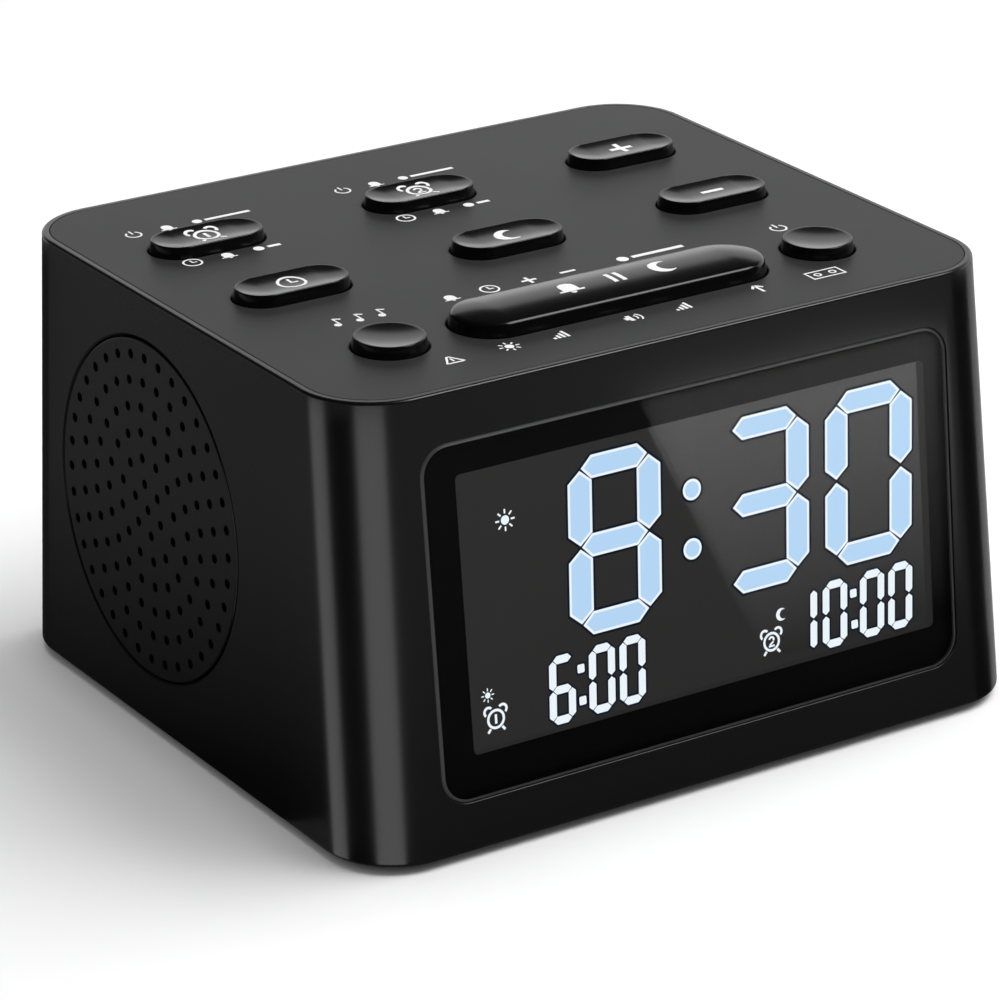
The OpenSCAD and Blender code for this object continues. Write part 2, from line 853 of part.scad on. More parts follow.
module main_board() {
  color(green)
    on_front(lens_s)
      difference() {
        plate(main_w, main_h, board_r, main_front, board_t);
        for (at = main_screw_at)
          translate([at[0], at[1], -main_back])
            pilot(small_screw_r, board_t + cut);
      }
}

module board_chips() {
  color(gloss)
    on_front(lens_s)
      for (c = CHIPS)
        translate([c[2] - c[0] / 2, c[3] - c[1] / 2, -main_back - chip_t])
          cube([c[0], c[1], chip_t]);
}

module board_screws() {
  color(steel) {
    on_front(lens_s) {
      for (at = ear_at)
        translate([at[0], at[1], -ear_low])
          small_screw();
      for (at = main_screw_at)
        translate([at[0], at[1], -main_back])
          small_screw();
    }
    for (at = deck_bosses)
      translate([at[0], at[1], top_z + board_low])
        small_screw();
    for (side = [-1, 1])
      translate([side * bracket_x, rear_screw_y, rear_top])
        rotate([180, 0, 0])
          small_screw();
  }
}

// Button deck

// Half section of a cap's leaning skirt and rounded lip, with z 0 at the top of the panel
module skirt_profile(r, out) {
  lip = r - cap_draft;
  neck = out - cap_lip_r;
  polygon([[0, cap_low], [r, cap_low], [r, 0], [lip, neck], [0, neck]]);
  translate([lip - cap_lip_r, neck])
    circle(cap_lip_r);
  square([lip - cap_lip_r, out]);
  translate([0, cap_low])
    square([r + flange_w, flange_t]);
}

// Hollow under the roof of a cap
module cap_hollow(r, roof_low) {
  translate([0, cap_low - cut])
    square([r - cap_wall, roof_low - cap_low + cut]);
}

// Half section of a dished cap
module cap_profile(r) {
  rim = r - cap_draft - cap_lip_r;
  dish_r = (rim * rim + dish_depth * dish_depth) / (2 * dish_depth);
  difference() {
    skirt_profile(r, cap_out);
    translate([0, cap_out - dish_depth + dish_r])
      circle(dish_r, $fn = 180);
    cap_hollow(r, dish_roof);
  }
}

// Half section of the crowned snooze bar
module bar_profile(r) {
  rim = r - cap_draft - cap_lip_r;
  crown_r = (rim * rim + crown_h * crown_h) / (2 * crown_h);
  difference() {
    union() {
      skirt_profile(r, bar_out);
      intersection() {
        translate([0, bar_out + crown_h - crown_r])
          circle(crown_r, $fn = 180);
        translate([0, bar_out - cut / 2])
          square([rim, crown_h + cut]);
      }
    }
    cap_hollow(r, bar_roof);
  }
}

module cap(name) {
  b = BUTTONS[search([name], BUTTONS)[0]];
  crowned = name == "snooze";
  roof_low = crowned ? bar_roof : dish_roof;
  color(gloss)
    translate(button_at(b)) {
      stadium_sweep(b[3], b[4])
        if (crowned)
          bar_profile(b[4] / 2);
        else
          cap_profile(b[4] / 2);
      translate([0, 0, post_low])
        cylinder(r = post_r, h = roof_low - post_low + roof_t / 2);
    }
}

module stem(name) {
  b = BUTTONS[search([name], BUTTONS)[0]];
  color("ivory")
    translate(button_at(b) + [0, 0, stem_low])
      cylinder(r = stem_r, h = post_low - stem_low);
}

module button_board() {
  color(green)
    difference() {
      translate([-deck_w / 2, deck_front, top_z + board_low])
        cube([deck_w, deck_back - deck_front, board_t]);
      for (at = deck_bosses)
        translate([at[0], at[1], top_z + board_low])
          pilot(small_screw_r, board_t + cut);
    }
}

module tact_switches() {
  color(dark)
    for (b = BUTTONS)
      translate(button_at(b))
        difference() {
          translate([-switch_w / 2, -switch_w / 2, board_top])
            cube([switch_w, switch_w, switch_h]);
          translate([0, 0, stem_floor])
            cylinder(r = stem_r + stem_gap, h = switch_top - stem_floor + cut);
        }
}

module ribbon_sockets() {
  color("ivory") {
    translate(deck_socket + [-socket_w / 2, -socket_d / 2, -socket_h])
      cube([socket_w, socket_d, socket_h]);
    on_front(main_socket_s)
      translate([-socket_w / 2, -socket_d / 2, -main_back - socket_h])
        cube([socket_w, socket_d, socket_h]);
  }
}

// Flat cable from the deck's socket down to the main board's socket
module ribbon_cable() {
  high = [deck_socket[1], deck_socket[2] - socket_h];
  entry = front_point(0, main_socket_s, main_back + socket_h);
  low = [entry[1], entry[2]];
  step = [ribbon_t, 0];
  bend = [high[0], (high[1] + low[1]) / 2];
  color("gainsboro")
    rotate([90, 0, 90])
      linear_extrude(ribbon_w, center = true)
        polygon([high - step, high + step, bend + step, low + step * 2, low, bend - step]);
}

// Speaker

module grille_holes() {
  for (n = [0:ring_count])
    for (i = [0:max(1, 6 * n) - 1])
      rotate(RING_TURN[n] + i * 60 / max(1, n))
        translate([n * ring_pitch, 0])
          circle(d = hole_d);
}

module speaker_grille() {
  color(black)
    on_side() {
      translate([0, 0, -side_wall])
        linear_extrude(side_wall)
          difference() {
            circle(grille_r);
            grille_holes();
          }
      ring(grille_r + grille_flange, lip_r, -grille_back, -side_wall);
    }
}

module speaker_gasket() {
  color(dark)
    on_side()
      ring(grille_r + grille_flange, gasket_in, -basket_front, -grille_back);
}

module speaker_basket() {
  color(steel)
    on_side()
      difference() {
        union() {
          rotate(window_turn)
            rotate_extrude()
              polygon([
                [basket_r, -basket_front], [basket_mouth, -basket_front], [magnet_r, -plate_front],
                [coil_r + coil_gap, -plate_front], [coil_r + coil_gap, -plate_back],
                [magnet_r + basket_t, -plate_back], [basket_mouth + basket_t, -basket_back],
                [basket_r, -basket_back]
              ]);
          for (at = speaker_screw_at)
            translate([at[0], at[1], -basket_back])
              cylinder(r = lobe_r, h = basket_t);
        }
        for (turn = [0:90:270])
          rotate(turn)
            translate([magnet_r + window_edge, -window_w_side / 2, window_edge - plate_front])
              cube([basket_r, window_w_side, basket_depth - 2 * window_edge]);
        for (at = speaker_screw_at)
          translate([at[0], at[1], -basket_back])
            pilot(small_screw_r, basket_t + cut);
      }
}

module speaker_surround() {
  color(gloss)
    on_side() {
      ring(lip_r, roll_mid + roll_r, -basket_front, -basket_front + skin_t);
      ring(roll_mid - roll_r + skin_t, cone_r - skin_t, -basket_front, -basket_front + skin_t);
      rotate_extrude()
        translate([roll_mid, -basket_front])
          intersection() {
            difference() {
              circle(roll_r + skin_t / 2);
              circle(roll_r - skin_t / 2);
            }
            translate([-2 * roll_r, 0])
              square([4 * roll_r, 2 * roll_r]);
          }
    }
}

module speaker_cone() {
  color(dark)
    on_side()
      rotate_extrude()
        polygon([
          [cone_r - skin_t, -cone_z], [cone_r, -cone_z],
          [coil_r + screw_gap + skin_t, -coil_top - skin_t], [coil_r + screw_gap, -coil_top - skin_t],
          [coil_r + screw_gap, -coil_top]
        ]);
}

module voice_coil() {
  color(brass)
    on_side()
      ring(coil_r, coil_r - coil_t, -coil_low, -coil_top);
}

module dust_cap() {
  cap_h = coil_r / 3;
  dome_r = (coil_r * coil_r + cap_h * cap_h) / (2 * cap_h);
  color(gloss)
    on_side()
      translate([0, 0, -coil_top])
        rotate_extrude()
          intersection() {
            difference() {
              translate([0, cap_h - dome_r])
                circle(dome_r, $fn = 180);
              translate([0, cap_h - dome_r - skin_t])
                circle(dome_r, $fn = 180);
            }
            square([coil_r, cap_h]);
          }
}

module speaker_magnet() {
  color("#4a4a4c")
    on_side()
      ring(magnet_r, coil_r + 2 * coil_gap, -magnet_back, -plate_back);
}

module speaker_yoke() {
  color(steel)
    on_side() {
      translate([0, 0, -yoke_back])
        cylinder(r = magnet_r, h = yoke_t);
      translate([0, 0, -magnet_back])
        cylinder(r = coil_r - coil_t - coil_gap, h = magnet_back - plate_front);
    }
}

// Two leads from the back of the speaker to the main board
module speaker_leads() {
  color("firebrick")
    for (side = [-1, 1]) {
      across = side * lead_space / 2;
      s = lens_s - main_along + across;
      route = [
        side_point(0, across, yoke_back),
        side_point(0, across, yoke_back + lead_run),
        front_point(lead_x, s, main_back + lead_run),
        front_point(lead_x, s, main_back)
      ];
      for (i = [0:2])
        tube(lead_r, route[i], route[i + 1]);
      for (i = [1:2])
        translate(route[i])
          sphere(lead_bend_r);
    }
}

module speaker_screws() {
  color(steel)
    on_side()
      for (at = speaker_screw_at)
        translate([at[0], at[1], -basket_back])
          small_screw();
}

// Rear controls

module thumbwheel(side) {
  color(dark)
    translate([side * wheel_pitch / 2, wheel_y, wheel_low])
      linear_extrude(wheel_t)
        difference() {
          circle(d = wheel_d);
          circle(pin_r + pin_gap);
          for (i = [0:notch_count - 1])
            rotate(i * 360 / notch_count)
              translate([wheel_d / 2, 0])
                circle(notch_r);
        }
}

module thumbwheel_pots() {
  color("navy")
    for (side = [-1, 1])
      translate([side * wheel_pitch / 2, wheel_y, rear_top]) {
        translate([-pot_w / 2, -pot_d / 2, 0])
          cube([pot_w, pot_d, pot_h]);
        cylinder(r = pin_r, h = pot_h + wheel_t);
      }
}

module rear_board() {
  color(green)
    difference() {
      translate([-rear_w / 2, bracket_y, rear_low])
        cube([rear_w, rear_board_d, board_t]);
      for (side = [-1, 1])
        translate([side * bracket_x, rear_screw_y, rear_top])
          rotate([180, 0, 0])
            pilot(small_screw_r, board_t + cut);
    }
}

module dc_jack() {
  color(gloss)
    difference() {
      union() {
        translate([-jack_r - jack_pad, jack_face - jack_l, rear_top])
          cube([2 * (jack_r + jack_pad), jack_l, 2 * (jack_r + jack_pad)]);
        translate([0, jack_face - cut, jack_z])
          rotate([-90, 0, 0])
            cylinder(r = jack_r, h = jack_nose - jack_face + cut);
      }
      translate([0, jack_nose - jack_depth, jack_z])
        rotate([-90, 0, 0])
          cylinder(r = jack_bore, h = jack_depth + cut);
    }
}

module jack_pin() {
  color(steel)
    translate([0, jack_nose - jack_depth, jack_z])
      rotate([-90, 0, 0])
        cylinder(r = jack_pin_r, h = jack_depth - jack_pin_inset);
}

// Backup cell

module battery_door() {
  slot_l = door_r;
  slot_w = 2;
  color(black)
    translate([0, door_y, base_z])
      difference() {
        union() {
          cylinder(r = door_r, h = door_t);
          cylinder(r = door_core, h = cup_low - door_gap / 2);
          bayonet(door_core + lug_w, base_t, base_t + lug_t, 0);
        }
        translate([-slot_l / 2, -slot_w / 2, -cut])
          cube([slot_l, slot_w, cut + door_t / 2]);
      }
}

module coin_cell() {
  color(steel)
    translate([0, door_y, base_z + cell_low])
      cylinder(d = cell_d, h = cell_t);
}

// A sprung leaf above the cell and one beside it
module cell_contacts() {
  leaf_w = 3;
  color(brass)
    translate([0, door_y, base_z]) {
      rotate([90, 0, 0])
        linear_extrude(leaf_w, center = true)
          polygon([
            [-cell_d / 4, cup_top], [-cell_d / 4, cup_top - leaf_t], [0, cell_top],
            [cell_d / 4, cup_top - leaf_t], [cell_d / 4, cup_top], [leaf_t, cell_top + leaf_t],
            [-leaf_t, cell_top + leaf_t]
          ]);
      translate([-leaf_w / 2, cell_d / 2, cell_low])
        cube([leaf_w, cell_gap / 2, cell_t]);
    }
}

body_shell();
top_panel();
base_cover();
rubber_feet();
case_screws();
panel_screws();
display_lens();
lcd_panel();
backlight_panel();
lcd_frame();
main_board();
board_chips();
board_screws();
button_board();
tact_switches();
ribbon_cable();
ribbon_sockets();
for (b = BUTTONS) {
  cap(b[0]);
  stem(b[0]);
}
speaker_grille();
speaker_gasket();
speaker_basket();
speaker_surround();
speaker_cone();
voice_coil();
dust_cap();
speaker_magnet();
speaker_yoke();
speaker_leads();
speaker_screws();
thumbwheel(-1);  // volume_wheel
thumbwheel(1);  // dimmer_wheel
thumbwheel_pots();
rear_board();
dc_jack();
jack_pin();
battery_door();
coin_cell();
cell_contacts();
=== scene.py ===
"""Looks of a bedside sound machine alarm clock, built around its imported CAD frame.

Classes hold their sizes in millimetres, and meshes are written in metres. The frame is the part's own:
front towards -Y, +Z up, origin in the middle of the footprint on the surface that the clock stands on.
"""

import json
import logging
import math
from contextlib import contextmanager
from dataclasses import dataclass, field
from enum import Enum, auto
from typing import Callable, Iterator, Sequence

import bmesh
import bpy
from mathutils import Matrix, Vector


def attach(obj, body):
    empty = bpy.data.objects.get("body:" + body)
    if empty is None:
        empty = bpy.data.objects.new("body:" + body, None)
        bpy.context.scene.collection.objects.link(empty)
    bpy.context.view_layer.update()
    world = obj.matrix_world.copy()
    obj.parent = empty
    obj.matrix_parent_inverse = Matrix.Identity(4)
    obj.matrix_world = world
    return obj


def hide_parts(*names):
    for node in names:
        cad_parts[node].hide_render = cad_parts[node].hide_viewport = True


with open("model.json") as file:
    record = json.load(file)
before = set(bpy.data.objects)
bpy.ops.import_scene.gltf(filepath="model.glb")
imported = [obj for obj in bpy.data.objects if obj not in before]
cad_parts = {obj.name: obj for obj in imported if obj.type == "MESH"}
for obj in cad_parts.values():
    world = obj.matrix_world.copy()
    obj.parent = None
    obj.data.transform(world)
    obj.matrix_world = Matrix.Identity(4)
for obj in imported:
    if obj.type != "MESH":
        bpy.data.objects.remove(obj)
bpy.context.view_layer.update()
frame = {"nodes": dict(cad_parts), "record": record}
LOG = logging.getLogger("bedside_clock")
MM = 0.001
IDENTITY = Matrix.Identity(4)
WHITE = (1, 1, 1, 1)
BLACK = (0, 0, 0, 1)
UP = (0, 0, 1)

# Limits of the mesh tools, in metres and degrees

WELD = 1e-7
CAD_WELD = 1e-6
CAD_FLAT = 0.5
SHARP_ANGLE = 30.0

Point2 = tuple[float, float]
Ring = list[Vector]
Faces = list[tuple[int, ...]]
Shape = tuple[list[Vector], Faces]


# Mesh tools

def new_object(name: str, shape: Shape, place: Matrix = IDENTITY) -> bpy.types.Object:
    """Makes a mesh object whose place is in its vertices.

    Args:
        name: Name of the piece.
        shape: Vertices in millimetres and faces.
        place: Where the vertices go in the clock's frame.

    Returns:
        The new object, at the origin.
    """
    verts, faces = shape
    mesh = bpy.data.meshes.new(name)
    mesh.from_pydata([(place @ Vector(v)) * MM for v in verts], [], faces)
    mesh.validate()
    return link(bpy.data.objects.new(name, mesh))


def loft(rings: Sequence[Ring], closed: bool = False) -> Shape:
    """Skins rings of equal length.

    Args:
        rings: Rings that turn anticlockwise as seen from the way they climb.
        closed: Joins the last ring to the first in place of capping both ends.

    Returns:
        Vertices and faces.
    """
    n = len(rings[0])
    verts = [p for ring in rings for p in ring]
    faces: Faces = []
    for k in range(len(rings) if closed else len(rings) - 1):
        a, b = k * n, (k + 1) % len(rings) * n
        faces += [(a + i, a + (i + 1) % n, b + (i + 1) % n, b + i) for i in range(n)]
    if not closed:
        faces.append(tuple(reversed(range(n))))
        faces.append(tuple(range(len(verts) - n, len(verts))))
    return verts, faces


def merged(shapes: Sequence[Shape]) -> Shape:
    """Puts several shapes into one.

    Args:
        shapes: The shapes, in order.

    Returns:
        One list of vertices and one of faces.
    """
    verts: list[Vector] = []
    faces: Faces = []
    for more, skin in shapes:
        faces += [tuple(i + len(verts) for i in f) for f in skin]
        verts += more
    return verts, faces


def grid_faces(rows: int, columns: int) -> Faces:
    """Faces between the points of a grid, row by row."""
    return [(r * columns + c, r * columns + c + 1, (r + 1) * columns + c + 1, (r + 1) * columns + c)
            for r in range(rows - 1) for c in range(columns - 1)]


def raised(outline: Sequence[Point2], z: float) -> Ring:
    """Lifts a flat outline to one height."""
    return [Vector((x, y, z)) for x, y in outline]


def circle(r: float, steps: int = 64) -> list[Point2]:
    """Points of a circle about the origin."""
    return [(r * math.cos(math.tau * i / steps), r * math.sin(math.tau * i / steps)) for i in range(steps)]


def bend(x: float, y: float, r: float, start: float, sweep: float, steps: int) -> list[Point2]:
    """Gives the points of an arc.

    Args:
        x: Its middle, across.
        y: Its middle, up.
        r: Its radius.
        start: Where it starts, in degrees.
        sweep: How far it goes, in degrees.
        steps: How many steps it takes.

    Returns:
        The points, with both ends.
    """
    turns = [math.radians(start + sweep * i / steps) for i in range(steps + 1)]
    return [(x + r * math.cos(a), y + r * math.sin(a)) for a in turns]


def stadium(length: float, r: float, steps: int = 20) -> list[Point2]:
    """Points of a stadium whose two ends are centred length apart."""
    return bend(length / 2, 0, r, -90, 180, steps) + bend(-length / 2, 0, r, 90, 180, steps)


def rounded_rect(w: float, h: float, r: float, steps: int = 10, centre: Point2 = (0, 0)) -> list[Point2]:
    """Gives the points of a rectangle with round corners.

    Args:
        w: Its width.
        h: Its height.
        r: Radius of its corners.
        steps: Steps in each corner.
        centre: Its middle.

    Returns:
        The points, anticlockwise.
    """
    points: list[Point2] = []
    for sx, sy, start in ((1, 1, 0), (-1, 1, 90), (-1, -1, 180), (1, -1, 270)):
        points += bend(centre[0] + sx * (w / 2 - r), centre[1] + sy * (h / 2 - r), r, start, 90, steps)
    return points


def inset_polygon(points: Sequence[Point2], by: float) -> list[Point2]:
    """Moves every side of a polygon by a distance.

    Args:
        points: A convex polygon, anticlockwise.
        by: How far its sides move in, or out if it is negative.

    Returns:
        The points of the new polygon.
    """
    lines = []
    for (x0, y0), (x1, y1) in zip(points, list(points[1:]) + [points[0]]):
        l = math.hypot(x1 - x0, y1 - y0)
        nx, ny = -(y1 - y0) / l, (x1 - x0) / l
        lines.append((nx, ny, nx * x0 + ny * y0 + by))
    result = []
    for (a, b, c), (d, e, f) in zip([lines[-1]] + lines[:-1], lines):
        det = a * e - b * d
        result.append(((c * e - b * f) / det, (a * f - c * d) / det))
    return result


def plate(outline: Sequence[Point2], low: float, high: float) -> Shape:
    """A flat plate between two heights."""
    return loft([raised(outline, low), raised(outline, high)])


def turned(section: Sequence[Point2], sides: int) -> Shape:
    """A round shape whose section gives the reach and height of each ring."""
    return loft([raised(circle(reach, sides), z) for reach, z in section])


def flared(sized: Callable[[float], Sequence[Point2]], depth: float, flare: float,
           clear: float = 1.0) -> Shape:
    """Makes a cutter that goes to a depth below a face and breaks the edge that it leaves.

    Args:
        sized: Gives the outline grown by a distance.
        depth: How deep it cuts.
        flare: Width of the broken edge.
        clear: How far it stands above the face.

    Returns:
        The cutter's shape, with the face at z 0.
    """
    return loft([raised(sized(0), -depth), raised(sized(0), -flare), raised(sized(flare + clear), clear)])


def bake(obj: bpy.types.Object) -> None:
    """Turns an object's modifiers into plain mesh.

    Args:
        obj: The object, which keeps its name.
    """
    graph = bpy.context.evaluated_depsgraph_get()
    shown = obj.evaluated_get(graph)
    mesh = bpy.data.meshes.new_from_object(shown, preserve_all_data_layers=True, depsgraph=graph)
    obj.modifiers.clear()
    old = obj.data
    obj.data = mesh
    bpy.data.meshes.remove(old)


def carve(obj: bpy.types.Object, tool: bpy.types.Object, operation: str = "DIFFERENCE") -> None:
    """Cuts an object with a tool, and removes the tool.

    Args:
        obj: The object.
        tool: The tool.
        operation: DIFFERENCE to cut with the tool, or UNION to join it.
    """
    modifier = obj.modifiers.new("carve", "BOOLEAN")
    modifier.operation = operation
    modifier.solver = "EXACT"
    modifier.object = tool
    bake(obj)
    bpy.data.objects.remove(tool)


@contextmanager
def edited(obj: bpy.types.Object) -> Iterator[bmesh.types.BMesh]:
    """Opens an object's mesh for editing, and writes it back.

    Args:
        obj: The object.

    Returns:
        The open mesh.
    """
    bm = bmesh.new()
    bm.from_mesh(obj.data)
    yield bm
    bm.to_mesh(obj.data)
    bm.free()


def weld(obj: bpy.types.Object) -> None:
    """Merges doubled points, drops what collapsed and turns the faces outwards.

    Args:
        obj: The object.
    """
    with edited(obj) as bm:
        bmesh.ops.remove_doubles(bm, verts=bm.verts, dist=WELD)
        bmesh.ops.dissolve_degenerate(bm, edges=bm.edges, dist=WELD)
        bmesh.ops.recalc_face_normals(bm, faces=bm.faces)


def shade(obj: bpy.types.Object, angle: float = SHARP_ANGLE) -> None:
    """Shades an object smooth, with its flats kept flat.

    Args:
        obj: The object.
        angle: Edges sharper than this stay sharp, in degrees.
    """
    obj.data.shade_smooth()
    obj.data.set_sharp_from_angle(angle=math.radians(angle))
    modifier = obj.modifiers.new("flats", "WEIGHTED_NORMAL")
    modifier.keep_sharp = True
    bake(obj)


def link(obj: bpy.types.Object) -> bpy.types.Object:
    """Puts an object in the scene and gives it back."""
    bpy.context.scene.collection.objects.link(obj)
    return obj


def cad_copy(node: str, name: str) -> bpy.types.Object:
    """Copies a CAD node's mesh, with its loose triangles joined.

    Args:
        node: The CAD node.
        name: Name of the copy.

    Returns:
        The copy.
    """
    obj = link(bpy.data.objects.new(name, frame["nodes"][node].data.copy()))
    obj.data.materials.clear()
    with edited(obj) as bm:
        bmesh.ops.remove_doubles(bm, verts=bm.verts, dist=CAD_WELD)
        bmesh.ops.dissolve_limit(bm, angle_limit=math.radians(CAD_FLAT), verts=bm.verts, edges=bm.edges)
    return obj


def seat(obj: bpy.types.Object, body: str, slot: str, *nodes: str) -> None:
    """Hands a finished piece to the frame.

    Args:
        obj: The piece.
        body: CAD body that it moves with.
        slot: The record's material slot; not used.
        nodes: CAD nodes that it stands for.
    """
    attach(obj, body)
    if nodes:
        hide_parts(*nodes)
    LOG.info("%s: %d faces, on %s", obj.name, len(obj.data.polygons), body)


# Node trees

class Wire:
    """A node's output. Sums and products of wires and numbers become Math nodes."""

    def __init__(self, graph: "Graph", socket: bpy.types.NodeSocket) -> None:
        """Keeps the socket and the graph that it is in."""
        self.graph = graph
        self.socket = socket

    def __getitem__(self, name: str) -> "Wire":
        """Another output of the same node."""
        return Wire(self.graph, self.socket.node.outputs[name])

    def by(self, operation: str, *others: object) -> "Wire":
        """Output of a Math node on this and other values."""
        return self.graph.add("ShaderNodeMath", self, *others, operation=operation)

    def __add__(self, other: object) -> "Wire":
        """This plus another value."""
        return self.by("ADD", other)

    def __sub__(self, other: object) -> "Wire":
        """This less another value."""
        return self.by("SUBTRACT", other)

    def __mul__(self, other: object) -> "Wire":
        """This times another value."""
        return self.by("MULTIPLY", other)

    def __truediv__(self, other: object) -> "Wire":
        """This over another value."""
        return self.by("DIVIDE", other)


class Graph:
    """Builds one node tree with short calls."""

    def __init__(self, tree: bpy.types.NodeTree) -> None:
        """Keeps the tree, and empties it."""
        self.tree = tree
        tree.nodes.clear()

    def fill(self, socket: bpy.types.NodeSocket, value: object) -> None:
        """Feeds one input.

        Args:
            socket: The input.
            value: A wire or a list of wires to link to it, or a plain value.
        """
        for one in value if isinstance(value, list) else [value]:
            if isinstance(one, Wire):
                self.tree.links.new(one.socket, socket)
            else:
                socket.default_value = one

    def add(self, kind: str, *inputs: object, **named: object) -> Wire | None:
        """Adds a node.

        Args:
            kind: Blender's name for the node's type.
            inputs: Wires or values for its first inputs, in order.
            named: Wires or values for its inputs, whose names start with a capital and have underscores for
                spaces, and values for its properties, whose names don't.

        Returns:
            The node's first output, if it has one.
        """
        node = self.tree.nodes.new(kind)
        ports = {name: value for name, value in named.items() if name[0].isupper()}
        for name, value in named.items():
            if name not in ports:
                setattr(node, name, value)
        for socket, value in zip(node.inputs, inputs):
            self.fill(socket, value)
        for name, value in ports.items():
            self.fill(node.inputs[name.replace("_", " ")], value)
        return Wire(self, node.outputs[0]) if node.outputs else None

    def xyz(self, x: object = 0.0, y: object = 0.0, z: object = 0.0) -> Wire:
        """A vector of three wires or numbers."""
        return self.add("ShaderNodeCombineXYZ", x, y, z)


def group_sockets(tree: bpy.types.NodeTree, inputs: dict[str, str], outputs: dict[str, str]) -> None:
    """Declares a node group's sockets.

    Args:
        tree: The group.
        inputs: Kind of each input by name.
        outputs: Kind of each output by name.
    """
    for way, kinds in (("INPUT", inputs), ("OUTPUT", outputs)):
        for name, kind in kinds.items():
            tree.interface.new_socket(name, in_out=way, socket_type=f"NodeSocket{kind}")


class PieceTree(Graph):
    """A geometry tree that makes one piece in its finish, from an object's mesh and named sizes."""

    def __init__(self, name: str, lengths: Sequence[str], counts: Sequence[str] = ()) -> None:
        """Opens the tree.

        Args:
            name: What it makes.
            lengths: Names of the inputs that are lengths.
            counts: Names of the inputs that are whole numbers.
        """
        super().__init__(bpy.data.node_groups.new(name, "GeometryNodeTree"))
        sizes = dict.fromkeys(lengths, "Float") | dict.fromkeys(counts, "Int")
        group_sockets(self.tree, {"Geometry": "Geometry"} | sizes | {"Finish": "Material"},
                      {"Geometry": "Geometry"})
        self.ins = self.add("NodeGroupInput")

    def cylinder(self, sides: object, radius: Wire, depth: Wire) -> Wire:
        """An upright cylinder about the origin."""
        return self.add("GeometryNodeMeshCylinder", Vertices=sides, Radius=radius, Depth=depth)

    def union(self, *shapes: Wire) -> Wire:
        """Several shapes made one."""
        return self.add("GeometryNodeMeshBoolean", Mesh_2=list(shapes), operation="UNION")

    def difference(self, shape: Wire, tool: Wire) -> Wire:
        """A shape less a tool."""
        return self.add("GeometryNodeMeshBoolean", Mesh_1=shape, Mesh_2=tool, operation="DIFFERENCE")

    def close(self, made: Wire) -> None:
        """Ends the tree with plain geometry in its finish."""
        whole = self.add("GeometryNodeRealizeInstances", made)
        self.add("NodeGroupOutput", self.add("GeometryNodeSetMaterial", whole, Material=self.ins["Finish"]))

    def grow(self, obj: bpy.types.Object, **sizes: object) -> None:
        """Runs the tree on an object and keeps the result as plain mesh.

        Args:
            obj: The object, whose mesh is the tree's input.
            sizes: Values for the tree's inputs by name, with underscores for spaces.
        """
        modifier = obj.modifiers.new(self.tree.name, "NODES")
        modifier.node_group = self.tree
        known = {item.name.replace(" ", "_"): item.identifier for item in self.tree.interface.items_tree
                 if item.in_out == "INPUT"}
        for name, value in sizes.items():
            modifier[known[name]] = value
        bake(obj)


def new_material(name: str) -> tuple[bpy.types.Material, Graph]:
    """Makes an empty material.

    Args:
        name: Its name.

    Returns:
        The material, and the graph of its nodes.
    """
    material = bpy.data.materials.new(name)
    material.use_nodes = True
    return material, Graph(material.node_tree)


# Finishes

class Grain(Enum):
    """Kinds of fine surface structure."""

    MOULDED = "moulded_grain"
    BRUSHED = "brushed_grain"
    PRESSED = "pressed_grain"


class GrainGroups:
    """The shader node groups that give each kind of grain, built once."""

    made: dict[Grain, bpy.types.NodeTree] = {}
    brush_stretch: tuple[float, float, float] = (1.0, 1.0, 0.04)
    broad_share: float = 0.02
    fine_detail: float = 3.0
    broad_detail: float = 2.0

    @classmethod
    def get(cls, kind: Grain) -> bpy.types.NodeTree:
        """Gives the node group of one kind, and builds it the first time."""
        if kind not in cls.made:
            cls.made[kind] = cls.build(kind)
        return cls.made[kind]

    @classmethod
    def build(cls, kind: Grain) -> bpy.types.NodeTree:
        """Builds one group.

        Args:
            kind: Which grain.

        Returns:
            A group that takes a colour, a roughness and sizes, and gives colour, roughness and height.
        """
        tree = bpy.data.node_groups.new(kind.value, "ShaderNodeTree")
        sizes = dict.fromkeys(("Roughness", "Scale", "Mottle", "Spread"), "Float")
        results = {"Color": "Color", "Roughness": "Float", "Height": "Float"}
        group_sockets(tree, {"Color": "Color"} | sizes, results)
        g = Graph(tree)
        ins = g.add("NodeGroupInput")
        place, scale = g.add("ShaderNodeTexCoord")["Object"], ins["Scale"]
        if kind is Grain.BRUSHED:
            place = g.add("ShaderNodeMapping", place, Scale=cls.brush_stretch)
        height = g.add("ShaderNodeTexNoise", Vector=place, Scale=scale, Detail=cls.fine_detail)
        if kind is Grain.PRESSED:
            height = height + g.add("ShaderNodeTexVoronoi", Vector=place, Scale=scale)["Distance"]
        broad = g.add("ShaderNodeTexNoise", Vector=place, Scale=scale * cls.broad_share,
                      Detail=cls.broad_detail)
        swing = broad * 2.0 - 1.0
        lift = swing * ins["Mottle"] + 1.0
        tint = g.add("ShaderNodeVectorMath", ins["Color"], Scale=lift, operation="SCALE")
        g.add("NodeGroupOutput", tint, ins["Roughness"] + swing * ins["Spread"], height)
        return tree


